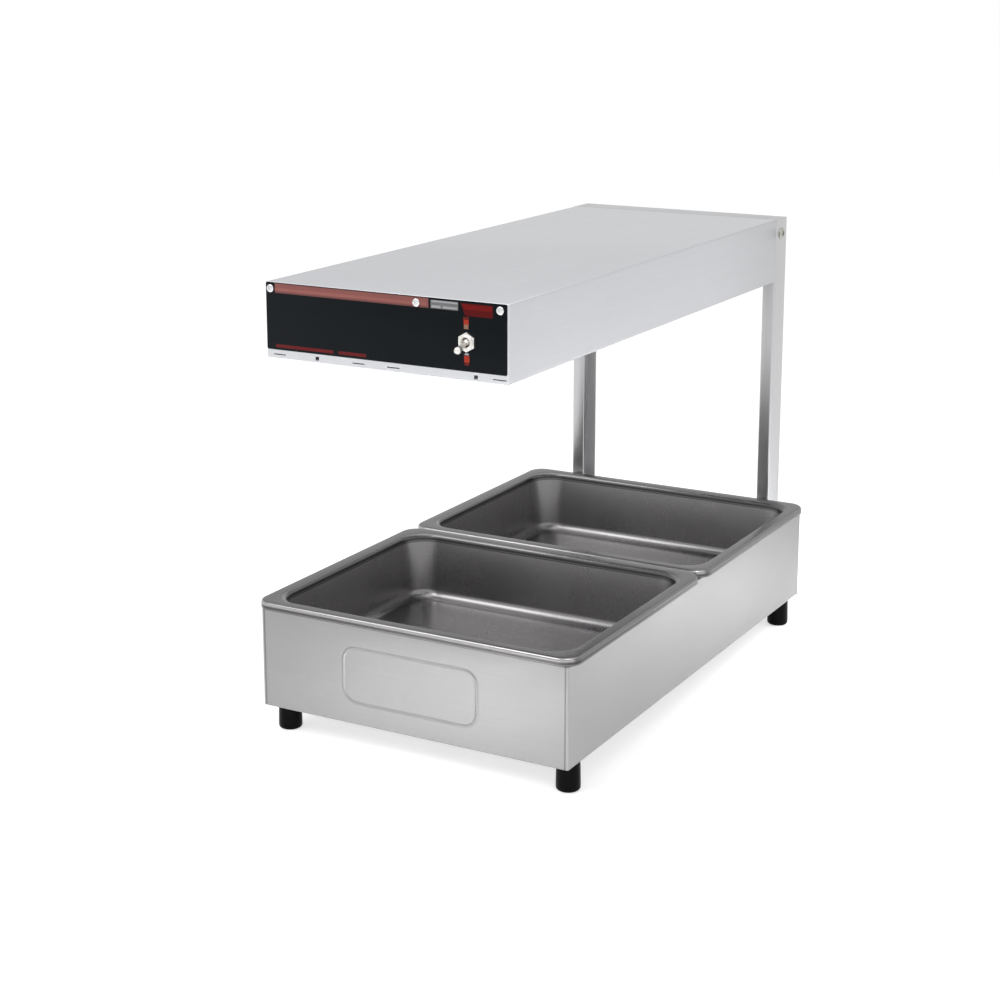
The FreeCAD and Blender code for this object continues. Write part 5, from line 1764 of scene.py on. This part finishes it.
def seen(wiring: Wiring) -> tuple[Any, Any]:
    """Masks of what the camera sees, and of what metal and glass show."""
    path = wiring.add("ShaderNodeLightPath").outputs
    mirrored = wiring.sum("MAXIMUM", path["Is Glossy Ray"], path["Is Transmission Ray"])
    return path["Is Camera Ray"], mirrored


def emptied(data: Any) -> Wiring:
    """The tree of a material or a world, cleared for new nodes."""
    data.use_nodes = True
    data.node_tree.nodes.clear()
    return Wiring(data.node_tree)


@dataclass
class Studio:
    """A pale floor, plain soft light and the camera.

    Attributes:
        camera_place: Where the camera stands.
        camera_turn: Its heading from straight along Y, in degrees.
        camera_dip: How far it looks down, in degrees.
        lens: Its focal length in millimetres, on a sensor 36 mm wide.
        shift: How far the picture is shifted down.
        floor_glow: The floor's own white, as the camera and as metal see it.
        ambient: The light that comes from all round.
        floor_size: The floor's width.
        floor_white: How much light the floor gives back.
        zenith: How white metal shows the sky overhead, where the horizon is 1.
        horizon: How high the horizon's white reaches.
    """

    camera_place: tuple[float, float, float] = (0.860, -1.64585, 0.701)
    camera_turn: float = 29.07
    camera_dip: float = 12.79
    lens: float = 70.9
    shift: float = -0.1
    floor_glow: tuple[float, float] = (0.6, 0.45)
    ambient: float = 0.5
    floor_size: float = 60.0
    floor_white: float = 0.8
    zenith: float = 0.78
    horizon: float = 0.14

    def build(self) -> None:
        """Set up the studio."""
        self.camera()
        self.floor()
        self.world()
        middle = (0.0, 0.0, 0.2)
        for lamp in (Lamp("key", (-1.0, -1.3, 2.2), middle, 1.2, 13.0),
                     Lamp("overhead", (0.4, 0.2, 2.7), middle, 2.4, 14.0),
                     Lamp("sparkle", (0.83, -0.79, 1.82), middle, 0.6, 4.5, 180.0, Reach.METAL),
                     Lamp("front_floor", (-0.03, -0.58, 0.3), (0.0, -0.5, 0.0), 0.2, 0.58, 90.0,
                          Reach.MATT),
                     Lamp("rear_floor", (0.42, 0.4, 0.36), (0.34, 0.34, 0.0), 0.35, 0.62, 95.0,
                          Reach.MATT)):
            lamp.hang()
        bpy.context.scene.view_settings.view_transform = "Standard"

    def camera(self) -> None:
        """The camera at the photograph's place."""
        data = bpy.data.cameras.new("camera")
        data.lens = self.lens
        data.shift_y = self.shift
        camera = bpy.data.objects.new("camera", data)
        camera.location = self.camera_place
        camera.rotation_euler = (math.radians(90 - self.camera_dip), 0,
                                 math.radians(self.camera_turn))
        bpy.context.scene.collection.objects.link(camera)
        bpy.context.scene.camera = camera

    def floor(self) -> None:
        """A wide pale floor that keeps the warmer's shadow."""
        floor = Workpiece.plate("floor", ORIGIN, (self.floor_size, self.floor_size))
        rest()
        material = bpy.data.materials.new("pale_floor")
        wiring = emptied(material)
        camera, mirrored = seen(wiring)
        camera_glow, mirror_glow = self.floor_glow
        glow = wiring.sum("MULTIPLY_ADD", camera, camera_glow,
                          wiring.sum("MULTIPLY", mirrored, mirror_glow))
        white = shaded((1.0, 1.0, 1.0), self.floor_white)
        matt = wiring.add("ShaderNodeBsdfDiffuse", {"Color": white})
        shine = wiring.add("ShaderNodeEmission", {"Strength": glow})
        both = wiring.add("ShaderNodeAddShader", {0: matt.outputs[0], 1: shine.outputs[0]})
        wiring.add("ShaderNodeOutputMaterial", {"Surface": both.outputs[0]})
        floor.body.data.materials.append(material)

    def world(self) -> None:
        """Soft light from all round, and a white background."""
        world = bpy.data.worlds.new("studio")
        bpy.context.scene.world = world
        wiring = emptied(world)
        camera, mirrored = seen(wiring)
        height = wiring.split(wiring.add("ShaderNodeTexCoord").outputs["Generated"])["Z"]
        white = wiring.mix_values(wiring.spread(height, 0.0, self.horizon), 1.0, self.zenith)
        strength = wiring.mix_values(mirrored, self.ambient, white)
        strength = wiring.mix_values(camera, strength, 1.0)
        sky = wiring.add("ShaderNodeBackground", {"Color": (1, 1, 1, 1), "Strength": strength})
        wiring.add("ShaderNodeOutputWorld", {"Surface": sky.outputs[0]})


def main() -> None:
    """Build the studio and the warmer."""
    logging.basicConfig(level=logging.INFO, format="%(message)s")
    Studio().build()
    palette = Palette()
    Base(palette).build()
    Pan(palette, "front_pan", Rides.FRONT_PAN).build()
    Pan(palette, "rear_pan", Rides.REAR_PAN).build()
    Posts(palette).build()
    Head(palette).build()
    Heater(palette).build()
    Toggle(palette).build()
    rest()


if __name__ == "__main__":
    main()
